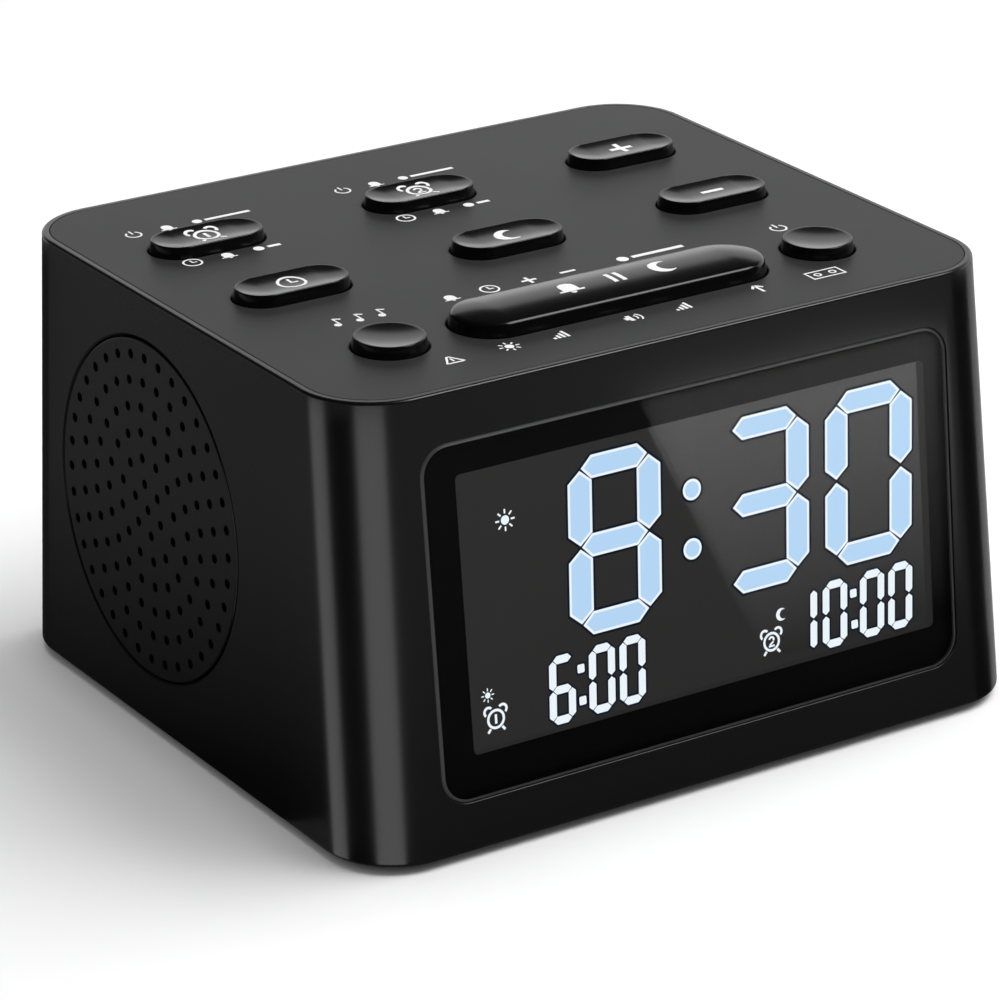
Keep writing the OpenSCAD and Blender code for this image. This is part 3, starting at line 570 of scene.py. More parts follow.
@dataclass(frozen=True)
class Finish:
    """One surface finish of the clock.

    Colours are linear. Grain size and depth are in millimetres.
    """

    name: str
    color: tuple[float, float, float]
    roughness: float
    specular: float = 0.5
    metallic: float = 0.0
    grain: Grain = Grain.MOULDED
    grain_size: float = 0.5
    grain_depth: float = 0.004
    mottle: float = 0.12
    spread: float = 0.03
    emission: float = 0.0
    transmission: float = 0.0
    ior: float = 1.45

    def material(self) -> bpy.types.Material:
        """Gives the finish's material, and builds it the first time."""
        found = bpy.data.materials.get(self.name)
        return found if found else self.build()

    def build(self) -> bpy.types.Material:
        """Builds the material.

        Returns:
            A Principled material whose colour, roughness and bump come from the finish's grain.
        """
        material, g = new_material(self.name)
        color = (*self.color, 1)
        skin: dict[str, object] = {"Metallic": self.metallic, "Specular_IOR_Level": self.specular,
                                   "IOR": self.ior, "Transmission_Weight": self.transmission}
        if self.transmission:
            skin |= {"Base_Color": color, "Roughness": self.roughness}
        else:
            grain = g.add("ShaderNodeGroup", node_tree=GrainGroups.get(self.grain), Color=color,
                          Roughness=self.roughness, Scale=1 / (self.grain_size * MM), Mottle=self.mottle,
                          Spread=self.spread)
            skin |= {"Base_Color": grain["Color"], "Roughness": grain["Roughness"]}
            if self.emission:
                skin |= {"Base_Color": BLACK, "Emission_Color": grain["Color"],
                         "Emission_Strength": self.emission}
            if self.grain_depth:
                skin["Normal"] = g.add("ShaderNodeBump", Distance=self.grain_depth * MM,
                                       Height=grain["Height"])
        g.add("ShaderNodeOutputMaterial", g.add("ShaderNodeBsdfPrincipled", **skin))
        return material

    def dress(self, obj: bpy.types.Object) -> None:
        """Makes this the object's only finish."""
        obj.data.materials.clear()
        obj.data.materials.append(self.material())

    def complete(self, obj: bpy.types.Object, body: str, slot: str, *nodes: str,
                 angle: float = SHARP_ANGLE) -> None:
        """Shades a piece, dresses it and hands it to the frame.

        Args:
            obj: The piece.
            body: CAD body that it moves with.
            slot: The record's material slot, handed on to seat.
            nodes: CAD nodes that it stands for.
            angle: Edges sharper than this stay sharp, in degrees.
        """
        shade(obj, angle)
        self.dress(obj)
        seat(obj, body, slot, *nodes)

    def layer(self, name: str, shapes: Sequence[Shape], place: Matrix, body: str, slot: str) -> None:
        """Makes a thin printed or lit layer of this finish.

        Args:
            name: Name of the piece.
            shapes: Its closed plates.
            place: Where they go in the clock's frame.
            body: CAD body that it moves with.
            slot: The record's material slot, handed on to seat.
        """
        obj = new_object(name, merged(shapes), place)
        weld(obj)
        self.dress(obj)
        seat(obj, body, slot)


def lit(name: str, color: tuple[float, float, float]) -> Finish:
    """The finish of a lit segment."""
    return Finish(name, color, 0.6, specular=0.02, emission=1.0, mottle=0.02, grain_depth=0)


CASE_BLACK = Finish("case_black", (0.0035, 0.0035, 0.0036), 0.25, specular=0.5, grain_depth=0.002)
DECK_BLACK = Finish("deck_black", (0.025, 0.025, 0.0254), 0.44, specular=0.22, grain_depth=0.006)
KEY_GLOSS = Finish("key_gloss", (0.003, 0.003, 0.0032), 0.18, specular=0.35, grain_size=0.9,
                   grain_depth=0.001)
LENS_CLEAR = Finish("lens_clear", (0.98, 0.98, 0.98), 0.0, transmission=1.0, ior=1.15)
# The lens's bevel is a lighter grey: a painted highlight along the lens's edge.
LENS_BEVEL_HIGHLIGHT = Finish("lens_edge", (0.058, 0.058, 0.06), 0.35, specular=0.3)
PRINT_BLACK = Finish("print_black", (0.0006, 0.0006, 0.0006), 0.6, specular=0.05, grain_depth=0)
# The liquid crystal panel glows a faint grey: painted light in place of the lamps' light, which the clear
# lens keeps from it.
LCD_PAINTED_GLOW = Finish("lcd_dark", (0.0205, 0.0205, 0.0202), 0.06, specular=0.3, emission=1.0, mottle=0.04,
                  spread=0.01, grain_depth=0)
SEGMENT_BLUE = lit("segment_blue", (0.47, 0.69, 0.93))
SEGMENT_PALE = lit("segment_pale", (0.86, 0.94, 1.0))
SEGMENT_SHADE = lit("segment_shade", (0.004, 0.008, 0.017))
MARK_INK = Finish("mark_ink", (0.8, 0.8, 0.8), 0.55, specular=0.3, grain_size=0.2, grain_depth=0.002)
RUBBER = Finish("foot_rubber", (0.012, 0.012, 0.012), 0.75, specular=0.25, grain=Grain.PRESSED,
                grain_size=0.6)
BRIGHT_STEEL = Finish("bright_steel", (0.55, 0.55, 0.56), 0.28, metallic=1.0, grain=Grain.BRUSHED,
                      grain_size=0.15)
FERRITE = Finish("ferrite", (0.06, 0.06, 0.064), 0.6, grain=Grain.PRESSED, grain_size=0.8, grain_depth=0.02)
COPPER = Finish("copper", (0.72, 0.42, 0.2), 0.3, metallic=1.0, grain=Grain.BRUSHED, grain_size=0.2)
PAPER = Finish("cone_paper", (0.03, 0.03, 0.03), 0.85, specular=0.2, grain=Grain.PRESSED, grain_size=0.7,
               grain_depth=0.05)
BOARD_GREEN = Finish("board_green", (0.012, 0.085, 0.035), 0.35, specular=0.45, grain_size=1.2, mottle=0.2)
COMPONENT = Finish("component", (0.016, 0.016, 0.017), 0.5, specular=0.35, grain_size=0.6, grain_depth=0.01)
IVORY = Finish("ivory", (0.7, 0.66, 0.56), 0.45, specular=0.4, grain_size=0.8)
DIFFUSER = Finish("diffuser", (0.82, 0.83, 0.85), 0.4, specular=0.45, grain_size=0.7)
WIRE_RED = Finish("wire_red", (0.3, 0.02, 0.015), 0.4, specular=0.45, grain_size=0.5)

SLOT_FINISH = {
    "housing": CASE_BLACK, "deck": DECK_BLACK, "buttons": KEY_GLOSS, "lens": LENS_CLEAR,
    "display": LCD_PAINTED_GLOW, "diffuser": DIFFUSER, "board": BOARD_GREEN, "component": COMPONENT,
    "ivory": IVORY, "steel": BRIGHT_STEEL, "ferrite": FERRITE, "copper": COPPER, "paper": PAPER,
    "soft": RUBBER, "wheels": CASE_BLACK, "wire": WIRE_RED,
}


# The clock

@dataclass
class Housing:
    """Drafted housing with a rim round its top panel, and openings in its front, left side and back."""

    body_w: float = 128.0
    body_d: float = 114.0
    body_h: float = 73.0
    side_draft: float = 2.0
    front_draft: float = 8.5
    back_draft: float = 2.0
    corner_r: float = 12.5
    corner_steps: int = 24
    wall: float = 2.4
    rim_w: float = 1.2
    seam: float = 0.15
    panel_t: float = 2.0
    ledge_w: float = 1.4
    ledge_t: float = 2.0
    base_z: float = 1.2
    base_round: float = 0.8
    rim_round: float = 0.45
    lip_round: float = 0.06
    round_steps: int = 5
    grille_from_back: float = 45.3
    grille_rise: float = 0.8
    grille_hole: float = 28.45
    grille_sides: int = 128
    edge_break: float = 0.15

    @property
    def top_z(self) -> float:
        """Height of the top panel's face."""
        return self.base_z + self.body_h

    @property
    def panel_z(self) -> float:
        """Height of the ledge that the top panel rests on."""
        return self.top_z - self.panel_t

    @property
    def slope(self) -> float:
        """Length of the front, up its slope."""
        return math.hypot(self.front_draft, self.body_h)

    @property
    def front_tilt(self) -> float:
        """How far the front leans back, in radians."""
        return math.atan2(self.front_draft, self.body_h)

    @property
    def side_tilt(self) -> float:
        """How far the sides lean in, in radians."""
        return math.atan2(self.side_draft, self.body_h)

    def lean(self, z: float) -> float:
        """Share of the housing's height at z."""
        return (z - self.base_z) / self.body_h

    def back_y(self, z: float) -> float:
        """Back face at a height."""
        return self.body_d / 2 - self.back_draft * self.lean(z)

    def front_y(self, z: float) -> float:
        """Front face at a height."""
        return -self.body_d / 2 + self.front_draft * self.lean(z)

    def outline(self, inset: float, z: float) -> Ring:
        """Gives the rounded outline at one height.

        Args:
            inset: How far it lies inside the outer face.
            z: The height.

        Returns:
            Points anticlockwise from above.
        """
        r = self.corner_r - inset
        x = self.body_w / 2 - self.side_draft * self.lean(z) - self.corner_r
        back, front = self.back_y(z) - self.corner_r, self.front_y(z) + self.corner_r
        points: list[Point2] = []
        for cx, cy, start in ((x, back, 0), (-x, back, 90), (-x, front, 180), (x, front, 270)):
            points += bend(cx, cy, r, start, 90, self.corner_steps)
        return raised(points, z)

    def on_front(self, s: float = 0.0) -> Matrix:
        """Frame on the front face at a place up it: x across, y up the slope, z out of the face."""
        return (Matrix.Translation((0, -self.body_d / 2, self.base_z))
                @ Matrix.Rotation(math.pi / 2 - self.front_tilt, 4, "X") @ Matrix.Translation((0, s, 0)))

    def on_side(self) -> Matrix:
        """Gives the frame on the left face at the middle of the grille.

        Returns:
            The frame, with x forward, y up the wall and z out of it.
        """
        y = self.back_y(self.base_z + self.body_h / 2) - self.grille_from_back
        s = (self.body_h / 2 + self.grille_rise) / math.cos(self.side_tilt)
        return (Matrix.Translation((-self.body_w / 2, y, self.base_z))
                @ Matrix.Rotation(self.side_tilt, 4, "Y") @ Matrix.Translation((0, 0, s))
                @ Matrix.Rotation(-math.pi / 2, 4, "Z") @ Matrix.Rotation(math.pi / 2, 4, "X"))

    def corner(self, side: int, a: float, z: float) -> tuple[Vector, Vector]:
        """Finds a place on one of the four upright corners.

        Args:
            side: -1 for a left corner, 1 for a right one.
            a: Heading of the place, in radians, which also tells front from back.
            z: Its height.

        Returns:
            The place and the way that the face looks there.
        """
        r, c, s = self.corner_r, math.cos(a), math.sin(a)
        y, draft = self.front_y(z) + r, -self.front_draft
        if s > 0:
            y, draft = self.back_y(z) - r, self.back_draft
        x = side * (self.body_w / 2 - self.side_draft * self.lean(z) - r)
        lean = (side * self.side_draft * c + draft * s) / self.body_h
        return Vector((x + r * c, y + r * s, z)), Vector((c, s, lean)).normalized()

    def arc(self, r: float) -> Iterator[tuple[float, float]]:
        """Gives the steps of a quarter round.

        Args:
            r: Its radius.

        Returns:
            The radius times sine and cosine, step by step.
        """
        for i in range(self.round_steps + 1):
            a = math.pi / 2 * i / self.round_steps
            yield r * math.sin(a), r * math.cos(a)

    def section(self) -> list[Point2]:
        """Gives the section of the shell's wall.

        Returns:
            Inset and height of each ring, from the outer base edge over the rim to the inside.
        """
        b, t, l = self.base_round, self.rim_round, self.lip_round
        top, ledge = self.top_z, self.wall + self.ledge_w
        points = [(b - s, self.base_z + b - c) for s, c in self.arc(b)]
        points += [(t - c, top - t + s) for s, c in self.arc(t)]
        points += [(self.rim_w - l + s, top - l + c) for s, c in self.arc(l)]
        low = self.panel_z - self.ledge_t
        return points + [(self.rim_w, self.panel_z), (ledge, self.panel_z), (ledge, low), (self.wall, low),
                         (self.wall, self.base_z)]

    def build_shell(self, display: "Display", rear: "RearControls") -> None:
        """Makes the housing shell.

        Args:
            display: Gives the recess and window in the front.
            rear: Gives the slots and the socket hole in the back.
        """
        rings = [self.outline(inset, z) for inset, z in self.section()]
        shell = new_object("housing_shell", loft(rings, closed=True))
        hole = flared(lambda grown: circle(self.grille_hole + grown, self.grille_sides), 2 * self.wall,
                      2 * self.edge_break)
        for cutter, place in display.cutters(self) + rear.cutters(self) + [(hole, self.on_side())]:
            carve(shell, new_object("cutter", cutter, place))
        CASE_BLACK.complete(shell, "housing", "housing", "body_shell")

    def build_panel(self, deck: "ButtonDeck") -> None:
        """Makes the top panel.

        Args:
            deck: Gives the keys' openings.
        """
        inset, e = self.rim_w + self.seam, self.lip_round
        rings = [self.outline(inset, self.panel_z)]
        rings += [self.outline(inset + e - c, self.top_z - e + s) for s, c in self.arc(e)]
        panel = new_object("top_panel_skin", loft(rings))
        for key in deck.keys:
            cutter = flared(lambda grown: stadium(key.straight, key.width / 2 + deck.gap + grown),
                            self.panel_t + 1, self.edge_break)
            carve(panel, new_object("cutter", cutter, deck.place(key, self)))
        DECK_BLACK.complete(panel, "housing", "deck", "top_panel")


class Sign(Enum):
    """Plain signs printed on keys, panel and display."""

    ALARM_ONE = auto()
    ALARM_TWO = auto()
    PLUS = auto()
    MINUS = auto()
    CLOCK = auto()
    MOON = auto()
    SUN = auto()
    NOTE = auto()
    POWER = auto()
    BELL = auto()
    PAUSE = auto()
    LONG_TAP = auto()
    SHORT_TAP = auto()
    WARNING = auto()
    PANEL = auto()
    LEVEL = auto()
    ARROW = auto()
    SPEAKER = auto()


Patch = tuple[Callable[[float, float], Point2], int, int]
SignRow = tuple[tuple[Sign, float, float], ...]


class SignMaker:
    """Draws plain signs as thin patches about one millimetre in size, to be scaled."""

    across: int = 2
    bar_steps: int = 8
    moon_steps: int = 24
    least_steps: int = 6
    step_angle: int = 15
    rays: int = 8
    ink_t: float = 0.03
    ink_gap: float = 0.006

    @classmethod
    def bar(cls, x0: float, y0: float, x1: float, y1: float, w: float) -> Patch:
        """Draws a straight stroke.

        Args:
            x0: Where it starts, across.
            y0: Where it starts, up.
            x1: Where it ends, across.
            y1: Where it ends, up.
            w: Its width.

        Returns:
            The stroke.
        """
        l = math.hypot(x1 - x0, y1 - y0)
        nx, ny = -(y1 - y0) / l * w / 2, (x1 - x0) / l * w / 2

        def at(u: float, v: float) -> Point2:
            """Place along and across the stroke."""
            return x0 + (x1 - x0) * u + nx * (2 * v - 1), y0 + (y1 - y0) * u + ny * (2 * v - 1)
        return at, cls.bar_steps, cls.across

    @classmethod
    def arc(cls, cx: float, cy: float, r0: float, r1: float, a0: float = 0.0, a1: float = 360.0) -> Patch:
        """Draws a ring or part of one.

        Args:
            cx: Its middle, across.
            cy: Its middle, up.
            r0: Its inner radius.
            r1: Its outer radius.
            a0: Where it starts, in degrees.
            a1: Where it ends, in degrees.

        Returns:
            The ring.
        """
        def at(u: float, v: float) -> Point2:
            """Place along and across the ring."""
            a, r = math.radians(a0 + (a1 - a0) * u), r1 + (r0 - r1) * v
            return cx + r * math.cos(a), cy + r * math.sin(a)
        return at, max(cls.least_steps, int(abs(a1 - a0) / cls.step_angle)), cls.across

    @classmethod
    def crescent(cls, r: float, shift: float, inner: float) -> Patch:
        """Draws a moon.

        Args:
            r: Radius of its outer edge.
            shift: How far the middle of its inner edge lies to the right.
            inner: Radius of its inner edge.

        Returns:
            The moon.
        """
        meet = (r * r - inner * inner + shift * shift) / (2 * shift)
        out_a, in_a = math.acos(meet / r), math.acos((meet - shift) / inner)

        def at(u: float, v: float) -> Point2:
            """Finds a place on the moon.

            Args:
                u: Share of the way along it.
                v: Share of the way from its outer to its inner edge.

            Returns:
                The place.
            """
            a, b = out_a + (math.tau - 2 * out_a) * u, in_a + (math.tau - 2 * in_a) * u
            x0, y0 = r * math.cos(a), r * math.sin(a)
            x1, y1 = shift + inner * math.cos(b), inner * math.sin(b)
            return x0 + (x1 - x0) * v, y0 + (y1 - y0) * v
        return at, cls.moon_steps, cls.across

    @classmethod
    def patches(cls, sign: Sign) -> list[Patch]:
        """Draws one sign.

        Args:
            sign: Which sign.

        Returns:
            Its patches, within about one unit of the origin.
        """
        bar, arc = cls.bar, cls.arc
        alarm = [arc(0, 0, 0.58, 0.78), arc(-0.62, 0.66, 0.24, 0.44, 40, 230),
                 arc(0.62, 0.66, 0.24, 0.44, -50, 140), bar(-0.5, -0.68, -0.74, -0.96, 0.2),
                 bar(0.5, -0.68, 0.74, -0.96, 0.2)]
        one = [bar(0, -0.36, 0, 0.36, 0.2)]
        two = [arc(0, 0.17, 0.12, 0.28, 170, -30), bar(0.17, 0.0, -0.19, -0.26, 0.15),
               bar(-0.27, -0.34, 0.27, -0.34, 0.14)]
        turns = [math.tau * i / cls.rays for i in range(cls.rays)]
        rays = [bar(0.6 * math.cos(a), 0.6 * math.sin(a), math.cos(a), math.sin(a), 0.16) for a in turns]
        steps = ((-0.75, 0.4), (-0.25, 0.8), (0.25, 1.2), (0.75, 1.6))
        drawn = {
            Sign.ALARM_ONE: alarm + one,
            Sign.ALARM_TWO: alarm + two,
            Sign.PLUS: [bar(-0.8, 0, 0.8, 0, 0.34), bar(0, 0.18, 0, 0.8, 0.34),
                        bar(0, -0.8, 0, -0.18, 0.34)],
            Sign.MINUS: [bar(-0.8, 0, 0.8, 0, 0.34)],
            Sign.CLOCK: [arc(0, 0, 0.8, 1.0), bar(0, -0.08, 0, 0.6, 0.18), bar(0.1, 0, 0.48, 0, 0.16)],
            Sign.MOON: [cls.crescent(0.95, 0.42, 0.72)],
            Sign.SUN: [arc(0, 0, 0.0, 0.42)] + rays,
            Sign.NOTE: [arc(-0.35, -0.6, 0.0, 0.33), bar(-0.09, -0.5, -0.09, 0.85, 0.15),
                        bar(0.0, 0.75, 0.5, 0.45, 0.2)],
            Sign.POWER: [arc(0, -0.05, 0.62, 0.8, 125, 415), bar(0, 0.1, 0, 0.95, 0.18)],
            Sign.BELL: [arc(0, 0.1, 0.0, 0.55, 0, 180), bar(0, 0.1, 0, -0.45, 1.1),
                        bar(-0.85, -0.54, 0.85, -0.54, 0.16), arc(0, -0.68, 0.0, 0.2, 180, 360)],
            Sign.PAUSE: [bar(-0.35, -0.8, -0.35, 0.8, 0.34), bar(0.35, -0.8, 0.35, 0.8, 0.34)],
            Sign.LONG_TAP: [arc(-0.84, 0, 0.0, 0.16), bar(-0.56, 0, 1.0, 0, 0.15)],
            Sign.SHORT_TAP: [arc(-0.6, 0, 0.0, 0.36), bar(0.04, 0, 0.96, 0, 0.32)],
            Sign.WARNING: [bar(-0.88, -0.7, -0.06, 0.8, 0.2), bar(0.88, -0.7, 0.06, 0.8, 0.2),
                           bar(-0.74, -0.68, 0.74, -0.68, 0.2), bar(0, -0.36, 0, 0.34, 0.18)],
            Sign.PANEL: [bar(-1.0, 0.45, 1.0, 0.45, 0.1), bar(-1.0, -0.45, 1.0, -0.45, 0.1),
                         bar(-0.95, -0.39, -0.95, 0.39, 0.1), bar(0.95, -0.39, 0.95, 0.39, 0.1),
                         arc(-0.45, 0, 0.12, 0.22), arc(0.45, 0, 0.12, 0.22)],
            Sign.LEVEL: [bar(x, -0.8, x, -0.8 + h, 0.3) for x, h in steps],
            Sign.ARROW: [bar(0, -0.95, 0, 0.8, 0.28), bar(-0.6, 0.15, -0.05, 0.85, 0.26),
                         bar(0.6, 0.15, 0.05, 0.85, 0.26)],
            Sign.SPEAKER: [bar(-0.95, 0, -0.6, 0, 0.6), bar(-0.6, 0, -0.15, 0, 1.3),
                           arc(-0.2, 0, 0.5, 0.68, -45, 45), arc(-0.2, 0, 0.95, 1.13, -45, 45)],
        }
        return drawn[sign]

    @classmethod
    def shape(cls, sign: Sign, centre: Point2, size: float, surface: Callable[[float, float], float],
              thick: float = ink_t, lift: float = ink_gap) -> Shape:
        """Lays one sign on a surface as thin closed plates.

        Args:
            sign: Which sign.
            centre: Its middle on the surface.
            size: Half its width.
            surface: Height of the surface at a place.
            thick: Thickness of the ink.
            lift: Gap under the ink.

        Returns:
            The plates' vertices and faces.
        """
        shapes = []
        for at, nu, nv in cls.patches(sign):
            spots = [at(i / nu, j / nv) for j in range(nv + 1) for i in range(nu + 1)]
            flat = [(centre[0] + size * x, centre[1] + size * y) for x, y in spots]
            verts = [Vector((x, y, surface(x, y) + h)) for h in (lift, lift + thick) for x, y in flat]
            w, base = nu + 1, len(flat)
            faces: Faces = []
            for a, b, c, d in grid_faces(nv + 1, w):
                faces += [(a, d, c, b), (a + base, b + base, c + base, d + base)]
            border = ([i for i in range(w)] + [j * w + nu for j in range(1, nv + 1)]
                      + [nv * w + i for i in range(nu - 1, -1, -1)] + [j * w for j in range(nv - 1, 0, -1)])
            faces += [(p, q, q + base, p + base) for p, q in zip(border, border[1:] + border[:1])]
            shapes.append((verts, faces))
        return merged(shapes)


@dataclass(frozen=True)
class Key:
    """One key of the deck: its name, place, size and sign."""

    name: str
    column: int
    row: float
    length: float
    width: float
    signs: SignRow = ()
    crowned: bool = False

    @property
    def straight(self) -> float:
        """Distance between the centres of its two round ends."""
        return self.length - self.width


REAR_ROW, MIDDLE_ROW, FRONT_ROW = 24.9, -1.9, -31.1
PILL = (20.2, 9.6)
ROUND = (12.0, 12.0)
BAR = (58.0, 13.8)
LONG_PRESS = ((Sign.POWER, -10.6, 1.8), (Sign.BELL, -4.4, 1.7), (Sign.LONG_TAP, 5.8, 5.4))
SHORT_PRESS = ((Sign.CLOCK, -8.6, 1.7), (Sign.BELL, -2.2, 1.7), (Sign.SHORT_TAP, 5.2, 2.6))
NOTES = ((Sign.NOTE, -3.6, 1.9), (Sign.NOTE, 0.4, 1.9), (Sign.NOTE, 4.4, 1.9))
SNOOZE_TIME = ((Sign.BELL, -22.8, 1.7), (Sign.CLOCK, -15.4, 1.7), (Sign.PLUS, -8.0, 1.7),
               (Sign.MINUS, -0.6, 1.8), (Sign.LONG_TAP, 15.4, 6.4))
REAR_WHEELS = ((Sign.WARNING, -36.4, 1.8), (Sign.SUN, -26.0, 1.8), (Sign.LEVEL, -17.0, 1.6),
               (Sign.SPEAKER, -3.0, 1.7), (Sign.LEVEL, 6.0, 1.6), (Sign.ARROW, 21.0, 1.7),
               (Sign.PANEL, 34.0, 3.2))
SNOOZE_SIGNS = ((Sign.BELL, -8, 2.7), (Sign.PAUSE, 1, 2.3), (Sign.MOON, 10, 2.5))


@dataclass
class ButtonDeck:
    """The keys on top, their signs and the small signs printed beside them."""

    column_pitch: float = 40.6
    column_shift: float = -0.5
    gap: float = 0.25
    cap_out: float = 1.85
    bar_out: float = 2.3
    cap_draft: float = 0.35
    lip_r: float = 0.2
    bar_lip_r: float = 1.0
    lip_end: float = math.radians(90)
    bar_lip_end: float = math.radians(77)
    lip_steps: int = 6
    dish_depth: float = 0.45
    crown_h: float = 0.66
    cap_wall: float = 1.2
    roof_t: float = 1.2
    flange_w: float = 0.9
    flange_t: float = 1.2
    post_r: float = 2.4
    post_sides: int = 32
    post_drop: float = 0.8
    face_steps: int = 12
    end_steps: int = 24
    sharp_angle: float = 40.0
    panel_rows: tuple[tuple[float, float, SignRow], ...] = (
        (-38.4, 38.4, LONG_PRESS), (-39.0, 21.4, SHORT_PRESS), (1.6, 38.7, LONG_PRESS),
        (1.0, 21.0, SHORT_PRESS), (-38.7, -14.6, NOTES), (0.8, -15.0, SNOOZE_TIME),
        (40.6, -16.5, ((Sign.POWER, 0, 1.9),)), (0.0, -38.1, REAR_WHEELS),
    )
    keys: tuple[Key, ...] = (
        Key("alarm_one", -1, REAR_ROW, *PILL, ((Sign.ALARM_ONE, 0, 2.9),)),
        Key("alarm_two", 0, REAR_ROW, *PILL, ((Sign.ALARM_TWO, 0, 2.9),)),
        Key("set_up", 1, REAR_ROW, *PILL, ((Sign.PLUS, 0, 2.7),)),
        Key("time_set", -1, MIDDLE_ROW, *PILL, ((Sign.CLOCK, 0, 2.5),)),
        Key("sleep", 0, MIDDLE_ROW, *PILL, ((Sign.MOON, 0, 2.4),)),
        Key("set_down", 1, MIDDLE_ROW, *PILL, ((Sign.MINUS, 0, 2.7),)),
        Key("sounds", -1, FRONT_ROW, *ROUND),
        Key("snooze", 0, FRONT_ROW, *BAR, SNOOZE_SIGNS, True),
        Key("power", 1, FRONT_ROW, *ROUND),
    )

    def place(self, key: Key, housing: Housing) -> Matrix:
        """Finds the frame of one key.

        Args:
            key: The key.
            housing: The housing that it sits in.

        Returns:
            Its frame, with z 0 at the face of the panel.
        """
        middle = (housing.front_y(housing.top_z) + housing.back_y(housing.top_z)) / 2
        x = key.column * self.column_pitch + self.column_shift
        return Matrix.Translation((x, middle + key.row, housing.top_z))

    def out(self, key: Key) -> float:
        """Height of a key's lip above the panel."""
        return self.bar_out if key.crowned else self.cap_out

    def lip(self, key: Key) -> tuple[float, float]:
        """Radius of a key's lip, and the angle at which its face takes over."""
        return (self.bar_lip_r, self.bar_lip_end) if key.crowned else (self.lip_r, self.lip_end)

    def rim(self, key: Key) -> float:
        """Reach of a key's face from its spine."""
        r, end = self.lip(key)
        return key.width / 2 - self.cap_draft - r * (1 - math.cos(end))

    def face(self, key: Key, reach: float) -> float:
        """Follows a key's dished or crowned face.

        Args:
            key: The key.
            reach: Distance from its spine.

        Returns:
            Height of the face there.
        """
        rim, rise = self.rim(key), self.crown_h if key.crowned else self.dish_depth
        r = (rim * rim + rise * rise) / (2 * rise)
        drop = r - math.sqrt(r * r - min(reach, rim) ** 2)
        return self.out(key) + (rise - drop if key.crowned else drop - rise)

    def surface(self, key: Key) -> Callable[[float, float], float]:
        """Height of a key's face at a place on it."""
        half = key.straight / 2
        return lambda x, y: self.face(key, math.hypot(max(0.0, abs(x) - half), y))

    def roof(self, key: Key) -> float:
        """Height of the underside of a key's roof."""
        return self.out(key) - self.roof_t - (0.0 if key.crowned else self.dish_depth)

    def section(self, key: Key, panel_t: float) -> list[Point2]:
        """Gives the section of a hollow cap.

        Args:
            key: The key.
            panel_t: Thickness of the panel that its flange lies under.

        Returns:
            Reach and height of each ring, from inside its roof round to the top of its face.
        """
        half, rim, (r, end) = key.width / 2, self.rim(key), self.lip(key)
        top, axis = self.out(key), half - self.cap_draft - r
        low, inner, roof = -panel_t - self.flange_t, half - self.cap_wall, self.roof(key)
        points = [(0.0, roof), (inner, roof), (inner, low), (half + self.flange_w, low),
                  (half + self.flange_w, -panel_t), (half, -panel_t), (half, 0.0)]
        for i in range(self.lip_steps + 1):
            a = end * i / self.lip_steps
            points.append((axis + r * math.cos(a), top + r * (math.sin(a) - math.sin(end))))
        reaches = [rim * (1 - i / self.face_steps) for i in range(1, self.face_steps + 1)]
        return points + [(reach, self.face(key, reach)) for reach in reaches]

    def build_cap(self, key: Key, housing: Housing) -> None:
        """Makes one hollow cap with its pressing post and its signs.

        Args:
            key: The key.
            housing: The housing that it sits in.
        """
        place, body = self.place(key, housing), f"{key.name}_button"
        verts, faces = loft([raised(stadium(key.straight, reach, self.end_steps), z)
                             for reach, z in self.section(key, housing.panel_t)])
        cap = new_object(f"{key.name}_key", (verts, faces[:-2]), place)
        weld(cap)
        low = -housing.panel_t - self.flange_t - self.post_drop
        post = plate(circle(self.post_r, self.post_sides), low, self.roof(key) + self.roof_t / 2)
        carve(cap, new_object("post", post, place), "UNION")
        KEY_GLOSS.complete(cap, body, "buttons", f"{key.name}_cap", angle=self.sharp_angle)
        if key.signs:
            drawn = [SignMaker.shape(sign, (x, 0), size, self.surface(key)) for sign, x, size in key.signs]
            MARK_INK.layer(f"{key.name}_sign", drawn, place, body, "diffuser")

    def build_panel_signs(self, housing: Housing) -> None:
        """Prints the rows of small signs beside the keys."""
        drawn = [SignMaker.shape(sign, (x + dx, y), size, lambda _x, _y: housing.top_z)
                 for x, y, row in self.panel_rows for sign, dx, size in row]
        MARK_INK.layer("panel_signs", drawn, IDENTITY, "housing", "diffuser")

    def build(self, housing: Housing) -> None:
        """Makes every key and the panel's signs.

        Args:
            housing: The housing that they sit in.
        """
        for key in self.keys:
            self.build_cap(key, housing)
        self.build_panel_signs(housing)


SEGMENTS = {"0": "abcdef", "1": "bc", "2": "abged", "3": "abgcd", "4": "fgbc", "5": "afgcd", "6": "afgedc",
            "7": "abc", "8": "abcdefg", "9": "abcdfg"}


